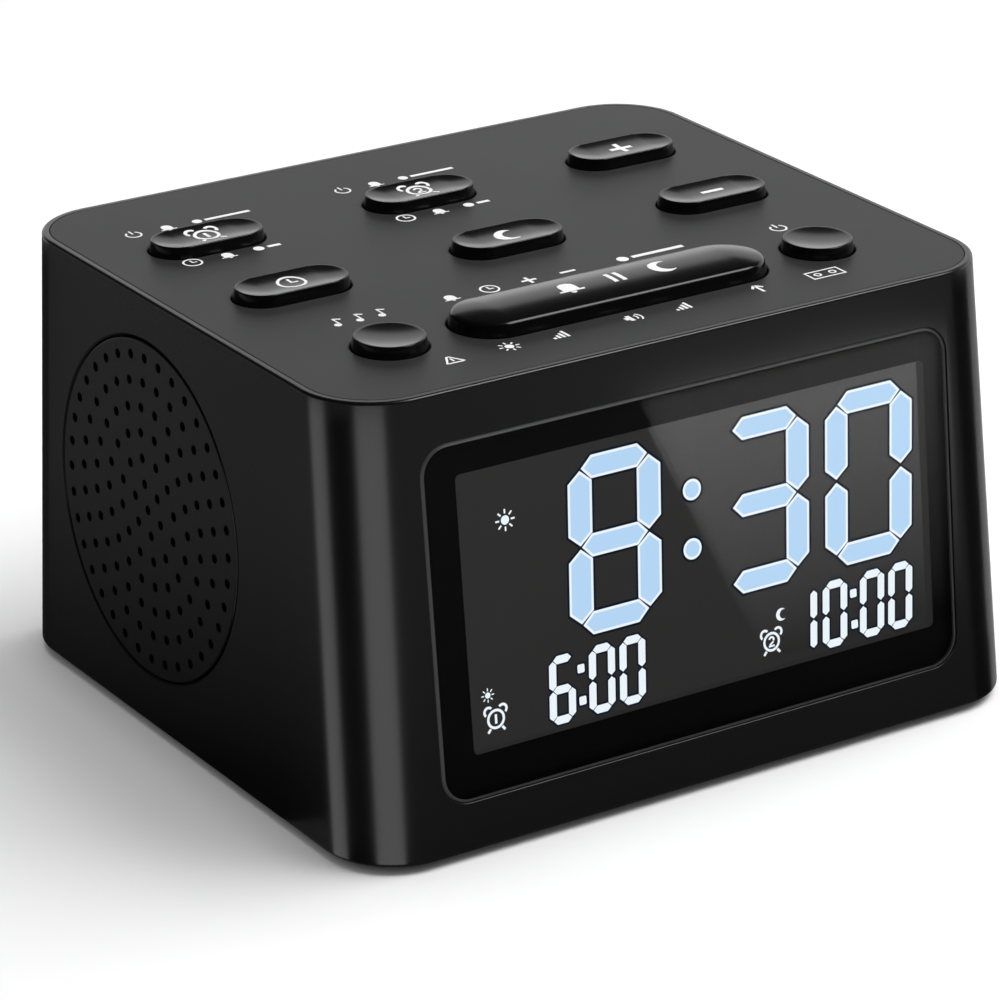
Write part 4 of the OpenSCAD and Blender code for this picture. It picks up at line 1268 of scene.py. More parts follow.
@dataclass(frozen=True)
class Numeral:
    """A size of seven-segment numeral: its axes and half widths, up the slope and across."""

    top: float
    middle: float
    bottom: float
    axis: float
    half_upright: float
    half_level: float
    gap: float
    slant: float = 0.05
    point: float = 0.82
    dot_sides: int = 28

    def segments(self, digit: str, x: float) -> list[list[Point2]]:
        """Gives the outlines of one digit's lit segments.

        Args:
            digit: A digit from 0 to 9.
            x: Middle of the digit at half its height.

        Returns:
            One hexagon for each segment, anticlockwise.
        """
        rows = {"a": self.top, "g": self.middle, "d": self.bottom}
        columns = {"f": (-1, self.middle, self.top), "b": (1, self.middle, self.top),
                   "e": (-1, self.bottom, self.middle), "c": (1, self.bottom, self.middle)}
        shapes = []
        for name in SEGMENTS[digit]:
            if name in rows:
                y, h, tip = rows[name], self.half_level, self.axis - self.gap / 2
                points = [(-tip, y), (-tip + h, y - h), (tip - h, y - h), (tip, y), (tip - h, y + h),
                          (-tip + h, y + h)]
            else:
                side, low, high = columns[name]
                cx, h = side * self.axis, self.half_upright
                low, high, rise = low + self.gap / 2, high - self.gap / 2, self.point * h
                points = [(cx, low), (cx + h, low + rise), (cx + h, high - rise), (cx, high),
                          (cx - h, high - rise), (cx - h, low + rise)]
            shapes.append([(x + px + self.slant * (py - self.middle), py) for px, py in points])
        return shapes

    def dots(self, x: float, heights: tuple[float, float], r: float) -> list[list[Point2]]:
        """Outlines of the two round dots of a colon."""
        round_dot = circle(r, self.dot_sides)
        return [[(x + self.slant * (y - self.middle) + px, y + py) for px, py in round_dot] for y in heights]


@dataclass
class Display:
    """Flush lens with a printed border, and the lit numerals on the liquid crystal panel behind it."""

    lens_side: float = 14.3
    lens_over: float = 7.9
    lens_under: float = 8.1
    lens_r: float = 5.0
    lens_t: float = 1.5
    lens_gap: float = 0.1
    lens_seat: float = 3.2
    recess_break: float = 0.04
    window_clear: float = 0.5
    edge_w: float = 0.55
    edge_drop: float = 0.3
    edge_angle: float = 20.0
    print_t: float = 0.04
    print_gap: float = 0.01
    window: tuple[float, float, float, float] = (-42.9, 45.8, 14.95, 59.8)
    window_r: float = 0.9
    large: Numeral = Numeral(55.6, 43.1, 30.6, 6.42, 2.22, 1.86, 0.5)
    small: Numeral = Numeral(26.2, 21.3, 16.4, 1.78, 0.66, 0.66, 0.24)
    large_digits: tuple[tuple[str, float], ...] = (("8", -14.25), ("3", 14.28), ("0", 34.78))
    small_digits: tuple[tuple[str, float], ...] = (
        ("6", -25.6), ("0", -18.2), ("0", -12.45), ("1", 20.9), ("0", 26.9), ("0", 34.35), ("0", 40.05))
    colon: tuple[float, tuple[float, float], float] = (0.3, (47.85, 38.25), 1.72)
    small_colons: tuple[Point2, ...] = ((-22.0, 23.8), (-22.0, 18.55), (30.7, 23.8), (30.7, 18.55))
    small_dot: tuple[float, float, float, int] = (1.3, 1.4, 0.25, 4)
    signs: tuple[tuple[Sign, float, float, float], ...] = (
        (Sign.SUN, -34.0, 50.6, 1.75), (Sign.SUN, -39.2, 23.6, 1.15), (Sign.ALARM_ONE, -38.0, 19.5, 2.1),
        (Sign.MOON, 16.4, 23.6, 1.1), (Sign.ALARM_TWO, 14.25, 19.5, 2.1))
    pale_edge: float = 0.42
    shade_edge: float = 0.4
    small_share: float = 0.8
    layer: float = 0.015
    layer_share: float = 0.8

    def sizes(self, housing: Housing) -> tuple[float, float, float]:
        """Width and height of the lens, and its middle up the slope."""
        h = housing.slope - self.lens_over - self.lens_under
        return housing.body_w - 2 * self.lens_side, h, self.lens_under + h / 2

    def outline(self, housing: Housing, inset: float) -> list[Point2]:
        """Outline of the lens, moved in by a distance."""
        w, h, _ = self.sizes(housing)
        return rounded_rect(w - 2 * inset, h - 2 * inset, self.lens_r - inset)

    def cutters(self, housing: Housing) -> list[tuple[Shape, Matrix]]:
        """Gives the cutters of the lens recess and of the window behind it.

        Args:
            housing: The housing that they cut.

        Returns:
            Each cutter with its place.
        """
        w, h, s = self.sizes(housing)
        place, seat_w = housing.on_front(s), 2 * self.lens_seat
        recess = flared(lambda grown: self.outline(housing, -grown), self.lens_t, self.recess_break)
        hole = rounded_rect(w - seat_w, h - seat_w, self.lens_r - seat_w / 4)
        return [(recess, place), (plate(hole, -3 * housing.wall, self.window_clear), place)]

    def build_lens(self, housing: Housing) -> None:
        """Makes the clear lens with its bevel, whose lighter grey is a painted highlight.

        Args:
            housing: The housing that it sits in.
        """
        back = -self.lens_t + self.print_t + 2 * self.print_gap
        steps = ((0.0, back), (0.0, -self.edge_drop), (self.edge_w, 0.0))
        rings = [raised(self.outline(housing, self.lens_gap + inset), z) for inset, z in steps]
        lens = new_object("lens_plate", loft(rings), housing.on_front(self.sizes(housing)[2]))
        LENS_CLEAR.dress(lens)
        # The bevel's faces take the lighter grey, a painted highlight.
        lens.data.materials.append(LENS_BEVEL_HIGHLIGHT.material())
        for face in lens.data.polygons[:2 * len(rings[0])]:
            face.material_index = 1
        shade(lens, self.edge_angle)
        seat(lens, "housing", "lens", "display_lens")

    def build_border(self, housing: Housing) -> None:
        """Makes the black border printed on the lens's back.

        Args:
            housing: The housing that the lens sits in.
        """
        s = self.sizes(housing)[2]
        x0, x1, s0, s1 = self.window
        inner = rounded_rect(x1 - x0, s1 - s0, self.window_r, centre=((x0 + x1) / 2, (s0 + s1) / 2 - s))
        outer = self.outline(housing, self.lens_gap)
        low = -self.lens_t + self.print_gap
        high = low + self.print_t
        rings = [raised(inner, high), raised(inner, low), raised(outer, low), raised(outer, high)]
        border = new_object("lens_print", loft(rings, closed=True), housing.on_front(s))
        PRINT_BLACK.complete(border, "housing", "lens")

    def build_numerals(self, housing: Housing) -> None:
        """Makes the lit segments: a dark fringe, a pale edge and a blue middle, each a thin layer.

        Args:
            housing: The housing that the display sits in.
        """
        big = [p for digit, x in self.large_digits for p in self.large.segments(digit, x)]
        big += self.large.dots(*self.colon)
        little = [p for digit, x in self.small_digits for p in self.small.segments(digit, x)]
        little += [rounded_rect(*self.small_dot, spot) for spot in self.small_colons]
        fringe = [inset_polygon(p, -self.shade_edge) for p in big]
        fringe += [inset_polygon(p, -self.shade_edge * self.small_share) for p in little]
        middle = [inset_polygon(p, self.pale_edge) for p in big]
        layers = (("segment_fringe", fringe, SEGMENT_SHADE), ("segment_edge", big + little, SEGMENT_PALE),
                  ("segment_middle", middle, SEGMENT_BLUE))
        for level, (name, outlines, finish) in enumerate(layers, start=1):
            low = level * self.layer - self.depth(housing)
            shapes = [plate(p, low, low + self.layer_share * self.layer) for p in outlines]
            obj = new_object(name, merged(shapes), housing.on_front())
            finish.dress(obj)
            seat(obj, "housing", "display")

    def depth(self, housing: Housing) -> float:
        """How far the display's face lies behind the front."""
        return housing.wall * math.cos(housing.front_tilt)

    def build_signs(self, housing: Housing) -> None:
        """Makes the display's small signs: which alarm is set, and day or night.

        Args:
            housing: The housing that the display sits in.
        """
        face = -self.depth(housing)
        drawn = [SignMaker.shape(sign, (x, y), size, lambda _x, _y: face, self.layer, self.layer)
                 for sign, x, y, size in self.signs]
        SEGMENT_PALE.layer("display_signs", drawn, housing.on_front(), "housing", "display")

    def build(self, housing: Housing) -> None:
        """Makes the lens, its border and all that the display shows.

        Args:
            housing: The housing that they sit in.
        """
        self.build_lens(housing)
        self.build_border(housing)
        self.build_numerals(housing)
        self.build_signs(housing)


@dataclass
class SpeakerSide:
    """Round grille set in the left wall, with rings of holes."""

    disc_r: float = 28.15
    flange: float = 2.0
    flange_t: float = 1.2
    lip: float = 1.2
    edge_round: float = 0.3
    rings: int = 6
    ring_step: int = 6
    ring_pitch: float = 4.25
    hole_d: float = 1.65
    hole_sides: int = 14
    disc_sides: int = 128
    nudge: float = 0.0001
    ring_turns: tuple[float, ...] = (0.0, -16.0, 12.0, 0.0, 7.0, -2.0, 2.0)

    def turn_of(self, g: Graph, ring: Wire) -> Wire:
        """Picks the angle that a ring of holes is turned by.

        Args:
            g: The tree that asks.
            ring: Number of the ring.

        Returns:
            The angle, in radians.
        """
        switch = g.tree.nodes.new("GeometryNodeIndexSwitch")
        switch.data_type = "FLOAT"
        while len(switch.index_switch_items) < len(self.ring_turns):
            switch.index_switch_items.new()
        for socket, value in zip(switch.inputs, [ring] + [math.radians(turn) for turn in self.ring_turns]):
            g.fill(socket, value)
        return Wire(g, switch.outputs[0])

    def perforations(self) -> PieceTree:
        """Builds the geometry tree that punches a middle hole and rings of holes round it.

        Each ring has a fixed number of holes more than the one before, so a hole's index gives its ring.

        Returns:
            A tree with inputs for the rings' count and distance, the holes' diameter and sides, and depth.
        """
        g = PieceTree("perforations", ("Ring Pitch", "Hole Diameter", "Depth"), ("Rings", "Hole Sides"))
        rings, more, half = g.ins["Rings"], float(self.ring_step), self.ring_step / 2
        points = g.add("GeometryNodePoints", Count=rings * (rings + 1.0) * half + 1.0)
        index = g.add("GeometryNodeInputIndex")
        root = (index * (2 * more) - (2 * more - half * half)).by("MAXIMUM", 0.0).by("SQRT")
        ring = ((root + (half + self.nudge)) / more).by("FLOOR") * index.by("GREATER_THAN", 0.5)
        place = index - (ring * (ring - 1.0) * half + 1.0)
        step = g.add("ShaderNodeMath", math.tau / more, ring.by("MAXIMUM", 1.0), operation="DIVIDE")
        angle, reach = place * step + self.turn_of(g, ring), ring * g.ins["Ring Pitch"]
        spot = g.xyz(reach * angle.by("COSINE"), reach * angle.by("SINE"))
        moved = g.add("GeometryNodeSetPosition", points, Position=spot)
        punch = g.cylinder(g.ins["Hole Sides"], g.ins["Hole Diameter"] * 0.5, g.ins["Depth"])
        copies = g.add("GeometryNodeInstanceOnPoints", moved, Instance=punch)
        g.close(g.difference(g.ins["Geometry"], g.add("GeometryNodeRealizeInstances", copies)))
        return g

    def build(self, housing: Housing) -> None:
        """Makes the grille disc, punches it and sets it in the wall.

        Args:
            housing: The housing whose wall it sits in.
        """
        back = housing.wall * math.cos(housing.side_tilt)
        low, r, lip, e = -back - self.flange_t, self.disc_r, self.disc_r - self.lip, self.edge_round
        section = [(lip, -back), (lip, low), (r + self.flange, low), (r + self.flange, -back), (r, -back)]
        section += [(r - e + c, -e + s) for s, c in housing.arc(e)]
        disc = new_object("grille_disc", turned(section, self.disc_sides))
        self.perforations().grow(
            disc, Rings=self.rings, Ring_Pitch=self.ring_pitch * MM, Hole_Diameter=self.hole_d * MM,
            Depth=4 * housing.wall * MM, Hole_Sides=self.hole_sides, Finish=CASE_BLACK.material())
        place = housing.on_side()
        place.translation *= MM
        disc.data.transform(place)
        shade(disc)
        seat(disc, "housing", "housing", "speaker_grille")


@dataclass
class RearControls:
    """Two thumbwheels and the power socket in the back wall."""

    wheel_d: float = 16.0
    wheel_t: float = 3.0
    wheel_out: float = 1.4
    wheel_pitch: float = 36.0
    wheel_up: float = 51.0
    wheel_gap: float = 0.4
    wheel_sides: int = 72
    slot_sides: int = 64
    ribs: int = 36
    rib_h: float = 0.4
    rib_ease: float = 0.02
    rib_root: float = 3.0
    rib_share: float = 0.5
    rib_span: float = 0.94
    bore_r: float = 1.55
    bore_sides: int = 32
    jack_r: float = 4.0
    jack_z: float = 52.5
    jack_sides: int = 48

    def spot(self, housing: Housing, side: int) -> Vector:
        """Finds one thumbwheel.

        Args:
            housing: The housing whose back it sits in.
            side: -1 for the left wheel, 1 for the right one, as seen from the front.

        Returns:
            The middle of the wheel.
        """
        z = housing.base_z + self.wheel_up
        y = housing.back_y(z) + self.wheel_out - self.wheel_d / 2
        return Vector((side * self.wheel_pitch / 2, y, z))

    def cutters(self, housing: Housing) -> list[tuple[Shape, Matrix]]:
        """Gives the cutters of the slots and of the socket's hole.

        Args:
            housing: The housing that they cut.

        Returns:
            Each cutter with its place.
        """
        half = self.wheel_t / 2 + self.wheel_gap
        slot = plate(circle(self.wheel_d / 2 + self.wheel_gap, self.slot_sides), -half, half)
        found = [(slot, Matrix.Translation(self.spot(housing, side))) for side in (-1, 1)]
        hole = flared(lambda grown: circle(self.jack_r + self.wheel_gap + grown, self.jack_sides),
                      3 * housing.wall, housing.edge_break)
        face = Matrix.Translation((0, housing.back_y(self.jack_z), self.jack_z))
        return found + [(hole, face @ Matrix.Rotation(-math.pi / 2, 4, "X"))]

    def ribbed_wheel(self) -> PieceTree:
        """Builds the geometry tree of a bored wheel with ribs round its edge.

        Returns:
            A tree with inputs for the wheel's radius, bore, thickness, and the count and height of its ribs.
        """
        g = PieceTree("ribbed_wheel", ("Radius", "Bore", "Thickness", "Rib Height"), ("Ribs",))
        radius, thick, rib, ribs = (g.ins[name] for name in ("Radius", "Thickness", "Rib Height", "Ribs"))
        wheel = g.cylinder(self.wheel_sides, radius - rib, thick)
        pitch = radius * math.tau / ribs
        size = g.xyz(rib * self.rib_root, pitch * self.rib_share, thick * self.rib_span)
        tooth = g.add("GeometryNodeMeshCube", Size=size)
        reach = radius - rib * (self.rib_root / 2)
        rim = g.add("GeometryNodeMeshCircle", Vertices=ribs, Radius=reach)
        turn = g.add("GeometryNodeInputIndex") * math.tau / ribs
        teeth = g.add("GeometryNodeInstanceOnPoints", rim, Instance=tooth, Rotation=g.xyz(z=turn))
        whole = g.union(wheel, g.add("GeometryNodeRealizeInstances", teeth))
        g.close(g.difference(whole, g.cylinder(self.bore_sides, g.ins["Bore"], thick * 2.0)))
        return g

    def build(self, housing: Housing) -> None:
        """Makes the two thumbwheels and dresses the power socket.

        Args:
            housing: The housing whose back they sit in.
        """
        tree = self.ribbed_wheel()
        for name, side in (("volume", -1), ("dimmer", 1)):
            wheel = new_object(f"{name}_thumbwheel", ([], []))
            tree.grow(wheel, Radius=(self.wheel_d / 2 - self.rib_ease) * MM, Bore=self.bore_r * MM,
                      Thickness=self.wheel_t * MM, Ribs=self.ribs, Rib_Height=self.rib_h * MM,
                      Finish=CASE_BLACK.material())
            wheel.data.transform(Matrix.Translation(self.spot(housing, side) * MM))
            shade(wheel)
            seat(wheel, f"{name}_control", "wheels", f"{name}_wheel")
        COMPONENT.complete(cad_copy("dc_jack", "power_socket"), "housing", "component", "dc_jack")


@dataclass
class Underside:
    """Base cover, battery door, feet and case screws."""

    foot_d: float = 10.0
    foot_h: float = 2.0
    foot_round: float = 0.5
    foot_inset: float = 20.0
    foot_sides: int = 48
    screw_inset: float = 8.5
    screw_front: float = 31.0
    screw_sink: float = 1.4
    head_r: float = 2.7
    head_h: float = 1.2
    head_sides: int = 40
    shank_r: float = 1.4
    shank_l: float = 8.0
    shank_sides: int = 24
    shank_lift: float = 0.499
    slot_l: float = 1.1
    slot_w: float = 0.26
    slot_drop: float = 0.45

    def cross_screw(self) -> PieceTree:
        """Builds the geometry tree of a cross-head screw on each point, head down.

        Returns:
            A tree with inputs for the head's and the shank's radius and height.
        """
        g = PieceTree("cross_screw", ("Head Radius", "Head Height", "Shank Radius", "Shank Length"))
        head_r, head_h, shank_l = (g.ins[name] for name in ("Head Radius", "Head Height", "Shank Length"))

        def moved(shape: Wire, z: Wire) -> Wire:
            """A shape moved up."""
            return g.add("GeometryNodeTransform", shape, Translation=g.xyz(z=z))
        slots = [g.add("GeometryNodeMeshCube", Size=g.xyz(head_r * x, head_r * y, head_h))
                 for x, y in ((self.slot_l, self.slot_w), (self.slot_w, self.slot_l))]
        cross = moved(g.union(*slots), head_h * -self.slot_drop)
        head = g.difference(g.cylinder(self.head_sides, head_r, head_h), cross)
        shank = g.cylinder(self.shank_sides, g.ins["Shank Radius"], shank_l)
        screw = g.union(moved(head, head_h * -0.5), moved(shank, shank_l * self.shank_lift))
        g.close(g.add("GeometryNodeInstanceOnPoints", g.ins["Geometry"], Instance=screw))
        return g

    def build_screws(self, housing: Housing) -> None:
        """Makes the four case screws.

        Args:
            housing: The housing that they hold.
        """
        x = housing.body_w / 2 - self.screw_inset
        rows = (-housing.body_d / 2 + self.screw_front, housing.body_d / 2 - self.screw_inset)
        z = housing.base_z + self.screw_sink
        spots = [Vector((side * x, y, z)) for side in (-1, 1) for y in rows]
        screws = new_object("case_screw_set", (spots, []))
        self.cross_screw().grow(
            screws, Head_Radius=self.head_r * MM, Head_Height=self.head_h * MM,
            Shank_Radius=self.shank_r * MM, Shank_Length=self.shank_l * MM, Finish=BRIGHT_STEEL.material())
        shade(screws)
        seat(screws, "housing", "steel", "case_screws")

    def build_feet(self, housing: Housing) -> None:
        """Makes the four feet, each with a rounded tread.

        Args:
            housing: The housing that they carry.
        """
        r, e = self.foot_d / 2, self.foot_round
        section = [(r - e + s, e - c) for s, c in housing.arc(e)] + [(r, self.foot_h)]
        verts, faces = turned(section, self.foot_sides)
        x, y = housing.body_w / 2 - self.foot_inset, housing.body_d / 2 - self.foot_inset
        spots = [Vector((sx * x, sy * y, 0)) for sx in (-1, 1) for sy in (-1, 1)]
        feet = new_object("feet", merged([([v + spot for v in verts], faces) for spot in spots]))
        RUBBER.complete(feet, "housing", "soft", "rubber_feet")

    def build(self, housing: Housing) -> None:
        """Makes the underside's pieces.

        Args:
            housing: The housing that they close and carry.
        """
        CASE_BLACK.complete(cad_copy("base_cover", "base_plate"), "housing", "housing", "base_cover")
        CASE_BLACK.complete(cad_copy("battery_door", "cell_cover"), "cell_door", "housing", "battery_door")
        self.build_screws(housing)
        self.build_feet(housing)


@dataclass
class Works:
    """The CAD nodes that stay as they are."""

    slots: dict[str, str] = field(default_factory=lambda: {
        part["node"]: part["material_slot"] for part in frame["record"]["subparts"]})

    def dress(self) -> None:
        """Gives every CAD node the finish of its slot."""
        for name, node in frame["nodes"].items():
            SLOT_FINISH[self.slots[name]].dress(node)


# The studio

def mirrored(eye: Vector, spot: Vector, normal: Vector) -> Vector:
    """Way that a ray from the eye takes after a mirror at a spot."""
    ray = (spot - eye).normalized()
    return ray - 2 * ray.dot(normal) * normal


@dataclass(frozen=True)
class Card:
    """A card that only reflections see.

    It is a sector between two headings, in degrees from +X on the floor plan. It lies flat between two
    reaches, or stands up at the second one if it has a rise. Its glow changes between two distances along
    an axis.
    """

    name: str
    headings: tuple[float, float]
    reaches: tuple[float, float]
    height: float
    glow: tuple[float, float]
    fade: tuple[float, float] = (0.0, 1.0)
    axis: tuple[float, float, float] = UP
    rise: float = 0.0
    steps: int = 24

    def shape(self) -> Shape:
        """Makes the card's strip.

        Returns:
            Its vertices, in millimetres, and faces.
        """
        a, b = (math.radians(h) for h in self.headings)
        near = (self.reaches[1], self.height + self.rise) if self.rise else (self.reaches[0], self.height)
        turns = [a + (b - a) * i / self.steps for i in range(self.steps + 1)]
        verts = [Vector((reach * math.cos(t), reach * math.sin(t), z)) / MM
                 for reach, z in (near, (self.reaches[1], self.height)) for t in turns]
        return verts, grid_faces(2, self.steps + 1)


@dataclass(frozen=True)
class CornerCard:
    """A card beside a corner that the camera sees mirrored in it as an upright band.

    The band lies between two headings of the corner's face, in degrees from +X. The card stands a short
    reach away and ends on the floor.
    """

    name: str
    side: int
    headings: tuple[float, float]
    glow: float
    reach: float = 0.025
    height: float = 0.0007
    steps: int = 12

    def shape(self, housing: Housing, eye: Vector) -> Shape:
        """Makes the card's grid.

        Args:
            housing: The housing whose corner mirrors it.
            eye: Place of the camera, in millimetres.

        Returns:
            Its vertices, in millimetres, and faces.
        """
        a, b = (math.radians(h) for h in self.headings)
        verts = []
        for i in range(self.steps + 1):
            for j in range(self.steps + 1):
                z = housing.base_z + housing.body_h * i / self.steps
                spot, normal = housing.corner(self.side, a + (b - a) * j / self.steps, z)
                way = mirrored(eye, spot, normal)
                verts.append(spot + way * min(self.reach / MM, (self.height / MM - z) / way.z))
        return verts, grid_faces(self.steps + 1, self.steps + 1)


@dataclass(frozen=True)
class Softbox:
    """A square soft lamp that faces the clock, with its power in watts."""

    name: str
    where: tuple[float, float, float]
    size: float
    power: float
    aim: tuple[float, float, float] = (0.0, 0.0, 0.03)

    def build(self) -> None:
        """Hangs the lamp, which no reflection shows."""
        lamp = bpy.data.lights.new(self.name, "AREA")
        lamp.size = self.size
        lamp.energy = self.power
        obj = link(bpy.data.objects.new(self.name, lamp))
        obj.location = self.where
        obj.rotation_euler = (Vector(self.aim) - Vector(self.where)).to_track_quat("-Z", "Y").to_euler()
        obj.visible_glossy = False
        obj.visible_camera = False


@dataclass
class Studio:
    """Pale floor, soft light, cards for the reflections, and the camera. Lengths are in metres."""

    lens_mm: float = 167.98
    sensor_mm: float = 36.0
    clip_start: float = 0.01
    eye: tuple[float, float, float] = (-0.39098, -0.59500, 0.32642)
    forward: tuple[float, float, float] = (0.50425, 0.77310, -0.38477)
    right: tuple[float, float, float] = (0.83737, -0.54663, -0.00092)
    floor_size: float = 6.0
    floor_color: float = 0.97
    # Close to the footprint the floor's glow falls to nothing: a painted contact shadow round the base.
    floor_glow: tuple[float, float] = (0.12, 0.88)
    painted_shadow_span: tuple[float, float] = (-0.003, 0.007)
    floor_far: tuple[float, float] = (0.18, 0.53)
    sky: float = 0.28
    lamps: tuple[Softbox, ...] = (
        Softbox("key_softbox", (0.58, -0.2, 1.0), 0.9, 13.4),
        Softbox("fill_softbox", (0.0, 0.3, 1.3), 0.8, 3.8),
    )
    cards: tuple[Card, ...] = (
        Card("left_table", (118, 205), (0.0, 0.6), 0.0004, (0.0115, 0.16), (0.056, 0.158),
             (-0.887, 0.463, 0)),
        Card("front_table", (205, 330), (0.0, 1.2), 0.0004, (0.1, 0.3), (0.057, 0.35), (0, -1, 0)),
        Card("ceiling_flag", (0, 360), (0.0, 1.73), 1.0, (0.02, 0.02)),
        Card("back_table", (5, 95), (0.32, 1.0), 0.0004, (0.03, 0.03)),
        Card("key_card", (-62, -12), (0.45, 1.05), 0.95, (8.0, 8.0)),
        Card("side_flag", (95, 345), (1.4, 1.4), 0.0, (0.02, 0.02), rise=0.9),
        Card("horizon", (-10, 85), (1.9, 1.9), 0.0, (1.3, 1.3), rise=0.5),
    )
    corner_cards: tuple[CornerCard, ...] = (
        CornerCard("back_shade", -1, (150.0, 177.0), 0.03),
        CornerCard("left_band", -1, (190.5, 203.5), 1.7),
        CornerCard("left_gap", -1, (205.0, 224.0), 0.0),
        CornerCard("front_band", -1, (226.5, 246.5), 2.15),
        CornerCard("right_gap", 1, (-82.0, -61.0), 0.0),
        CornerCard("right_light", 1, (-59.5, -40.0), 0.55),
    )
    glare: tuple[tuple[float, float], ...] = ((-8.2, 64.0), (49.7, 64.0), (49.7, 16.0), (14.5, 16.0))
    glare_reach: float = 0.04
    glare_glow: float = 2.6

    @staticmethod
    def seen(g: Graph) -> Wire:
        """Tells what the camera sees, directly or not.

        Args:
            g: The graph that asks.

        Returns:
            1 for rays from the camera, reflections and clear pieces, and 0 for the rest.
        """
        path = g.add("ShaderNodeLightPath")
        both = path["Is Camera Ray"].by("MAXIMUM", path["Is Glossy Ray"])
        return both.by("MAXIMUM", path["Is Transmission Ray"])

    def build_world(self) -> None:
        """Makes a sky that is white to the camera and to reflections, and soft to everything else."""
        world = bpy.data.worlds.new("studio_sky")
        bpy.context.scene.world = world
        world.use_nodes = True
        g = Graph(world.node_tree)
        skies = [g.add("ShaderNodeBackground", Color=WHITE, Strength=level) for level in (self.sky, 1.0)]
        g.add("ShaderNodeOutputWorld", g.add("ShaderNodeMixShader", self.seen(g), *skies))

    def floor_share(self, g: Graph, housing: Housing) -> Wire:
        """Reckons how much of the floor's colour is its own glow.

        Args:
            g: The floor's graph.
            housing: The housing, under and close round which nothing glows: a painted contact shadow.

        Returns:
            The share, which grows away from the housing's footprint, so that the floor is darker right round
            it: painted shadow.
        """
        r = housing.corner_r
        half = Vector((housing.body_w / 2 - r, housing.body_d / 2 - r, 0)) * MM
        spot = g.add("ShaderNodeVectorMath", g.add("ShaderNodeTexCoord")["Object"], operation="ABSOLUTE")
        for step, by in (("SUBTRACT", half), ("MAXIMUM", Vector())):
            spot = g.add("ShaderNodeVectorMath", spot, by, operation=step)
        away = g.add("ShaderNodeVectorMath", spot, operation="LENGTH")["Value"] - r * MM
        # The near ramp leaves no glow at the footprint's edge: painted contact shadow.
        near, far = (g.add("ShaderNodeMapRange", Value=away, From_Min=low, From_Max=high, To_Max=top)
                     for (low, high), top in zip((self.painted_shadow_span, self.floor_far), self.floor_glow))
        return near + far

    def build_floor(self, housing: Housing) -> None:
        """Makes the pale floor, which keeps the clock's shadow, has a painted contact shadow round its
        footprint and turns white far from it.

        Args:
            housing: The housing that stands on it.
        """
        half = self.floor_size / 2 / MM
        corners = [Vector((x * half, y * half, 0)) for x, y in ((-1, -1), (1, -1), (1, 1), (-1, 1))]
        floor = new_object("floor", (corners, [(0, 1, 2, 3)]))
        material, g = new_material("pale_floor")
        matte = g.add("ShaderNodeBsdfDiffuse", Color=(*[self.floor_color] * 3, 1))
        glow = g.add("ShaderNodeEmission", Color=WHITE, Strength=1.0)
        share = self.seen(g) * self.floor_share(g, housing)
        g.add("ShaderNodeOutputMaterial", g.add("ShaderNodeMixShader", share, matte, glow))
        floor.data.materials.append(material)

    @staticmethod
    def hang(name: str, shape: Shape, glow: tuple[float, float], fade: tuple[float, float] = (0.0, 1.0),
             axis: tuple[float, float, float] = UP) -> None:
        """Hangs a card with a glow that only reflections see.

        Args:
            name: Name of the card.
            shape: Its vertices, in millimetres, and faces.
            glow: Its brightness at the first and at the second distance.
            fade: The two distances.
            axis: The way along which they are measured.
        """
        obj = new_object(name, shape)
        material, g = new_material(name)
        spot = g.add("ShaderNodeTexCoord")["Object"]
        along = g.add("ShaderNodeVectorMath", spot, axis, operation="DOT_PRODUCT")["Value"]
        ramp = g.add("ShaderNodeMapRange", Value=along, From_Min=fade[0], From_Max=fade[1], To_Min=glow[0],
                     To_Max=glow[1])
        g.add("ShaderNodeOutputMaterial", g.add("ShaderNodeEmission", Strength=ramp))
        obj.data.materials.append(material)
        obj.visible_camera = obj.visible_diffuse = obj.visible_shadow = False

    def build_cards(self, housing: Housing) -> None:
        """Lays out the cards that the walls, corners and keys reflect.

        Args:
            housing: The housing whose corners mirror some of them.
        """
        for card in self.cards:
            self.hang(card.name, card.shape(), card.glow, card.fade, card.axis)
        for band in self.corner_cards:
            self.hang(band.name, band.shape(housing, Vector(self.eye) / MM), (band.glow, band.glow))

    def build_glare(self, housing: Housing) -> None:
        """Hangs the card that the lens reflects, where the camera's rays go after the lens.

        Args:
            housing: The housing that the lens sits in.
        """
        place, eye = housing.on_front(), Vector(self.eye) / MM
        normal = (place.to_3x3() @ Vector(UP)).normalized()
        spots = [place @ Vector((x, s, 0)) for x, s in self.glare]
        corners = [spot + mirrored(eye, spot, normal) * self.glare_reach / MM for spot in spots]
        heights = sorted(c.z * MM for c in corners)
        self.hang("glare_card", (corners, [(0, 1, 2, 3)]), (0.0, self.glare_glow), (heights[0], heights[-1]))

    def build_camera(self) -> None:
        """Sets the camera at the photograph's viewing angle."""
        data = bpy.data.cameras.new("photo_camera")
        data.lens = self.lens_mm
        data.sensor_width = self.sensor_mm
        data.clip_start = self.clip_start
        forward = Vector(self.forward).normalized()
        right = Vector(self.right)
        right = (right - right.dot(forward) * forward).normalized()
        turn = Matrix((right, right.cross(forward), -forward)).transposed()
        camera = link(bpy.data.objects.new("photo_camera", data))
        camera.matrix_world = Matrix.Translation(self.eye) @ turn.to_4x4()
        bpy.context.scene.camera = camera

    def build(self, housing: Housing) -> None:
        """Sets up the whole studio.

        Args:
            housing: The housing that stands in it.
        """
        bpy.context.scene.view_settings.view_transform = "Standard"
        self.build_camera()
        self.build_world()
        self.build_floor(housing)
        for lamp in self.lamps:
            lamp.build()
        self.build_cards(housing)
        self.build_glare(housing)


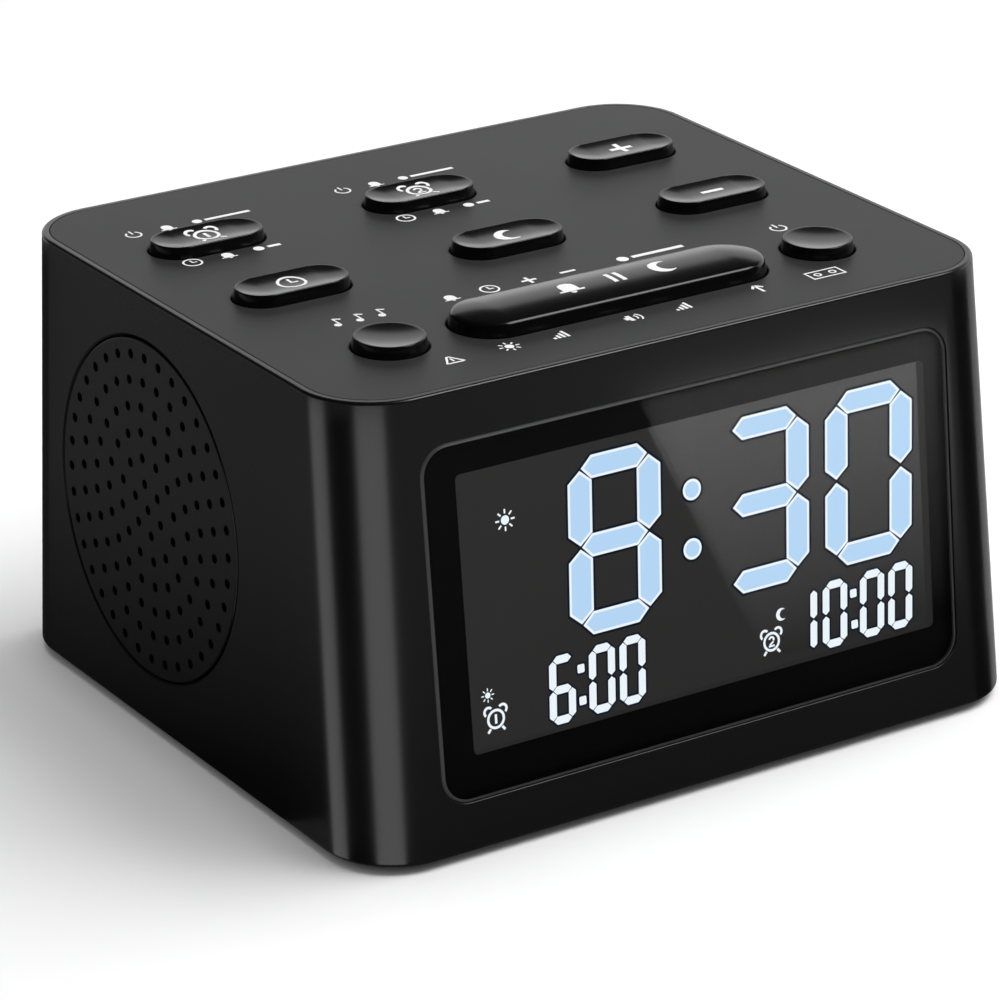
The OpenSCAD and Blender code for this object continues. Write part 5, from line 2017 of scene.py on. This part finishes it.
def main() -> None:
    """Builds the clock and its studio in order."""
    logging.basicConfig(level=logging.INFO, format="%(message)s")
    housing, deck, display = Housing(), ButtonDeck(), Display()
    speaker, rear, underside = SpeakerSide(), RearControls(), Underside()
    Studio().build(housing)
    Works().dress()
    housing.build_shell(display, rear)
    housing.build_panel(deck)
    deck.build(housing)
    display.build(housing)
    speaker.build(housing)
    rear.build(housing)
    underside.build(housing)


if __name__ == "__main__":
    main()
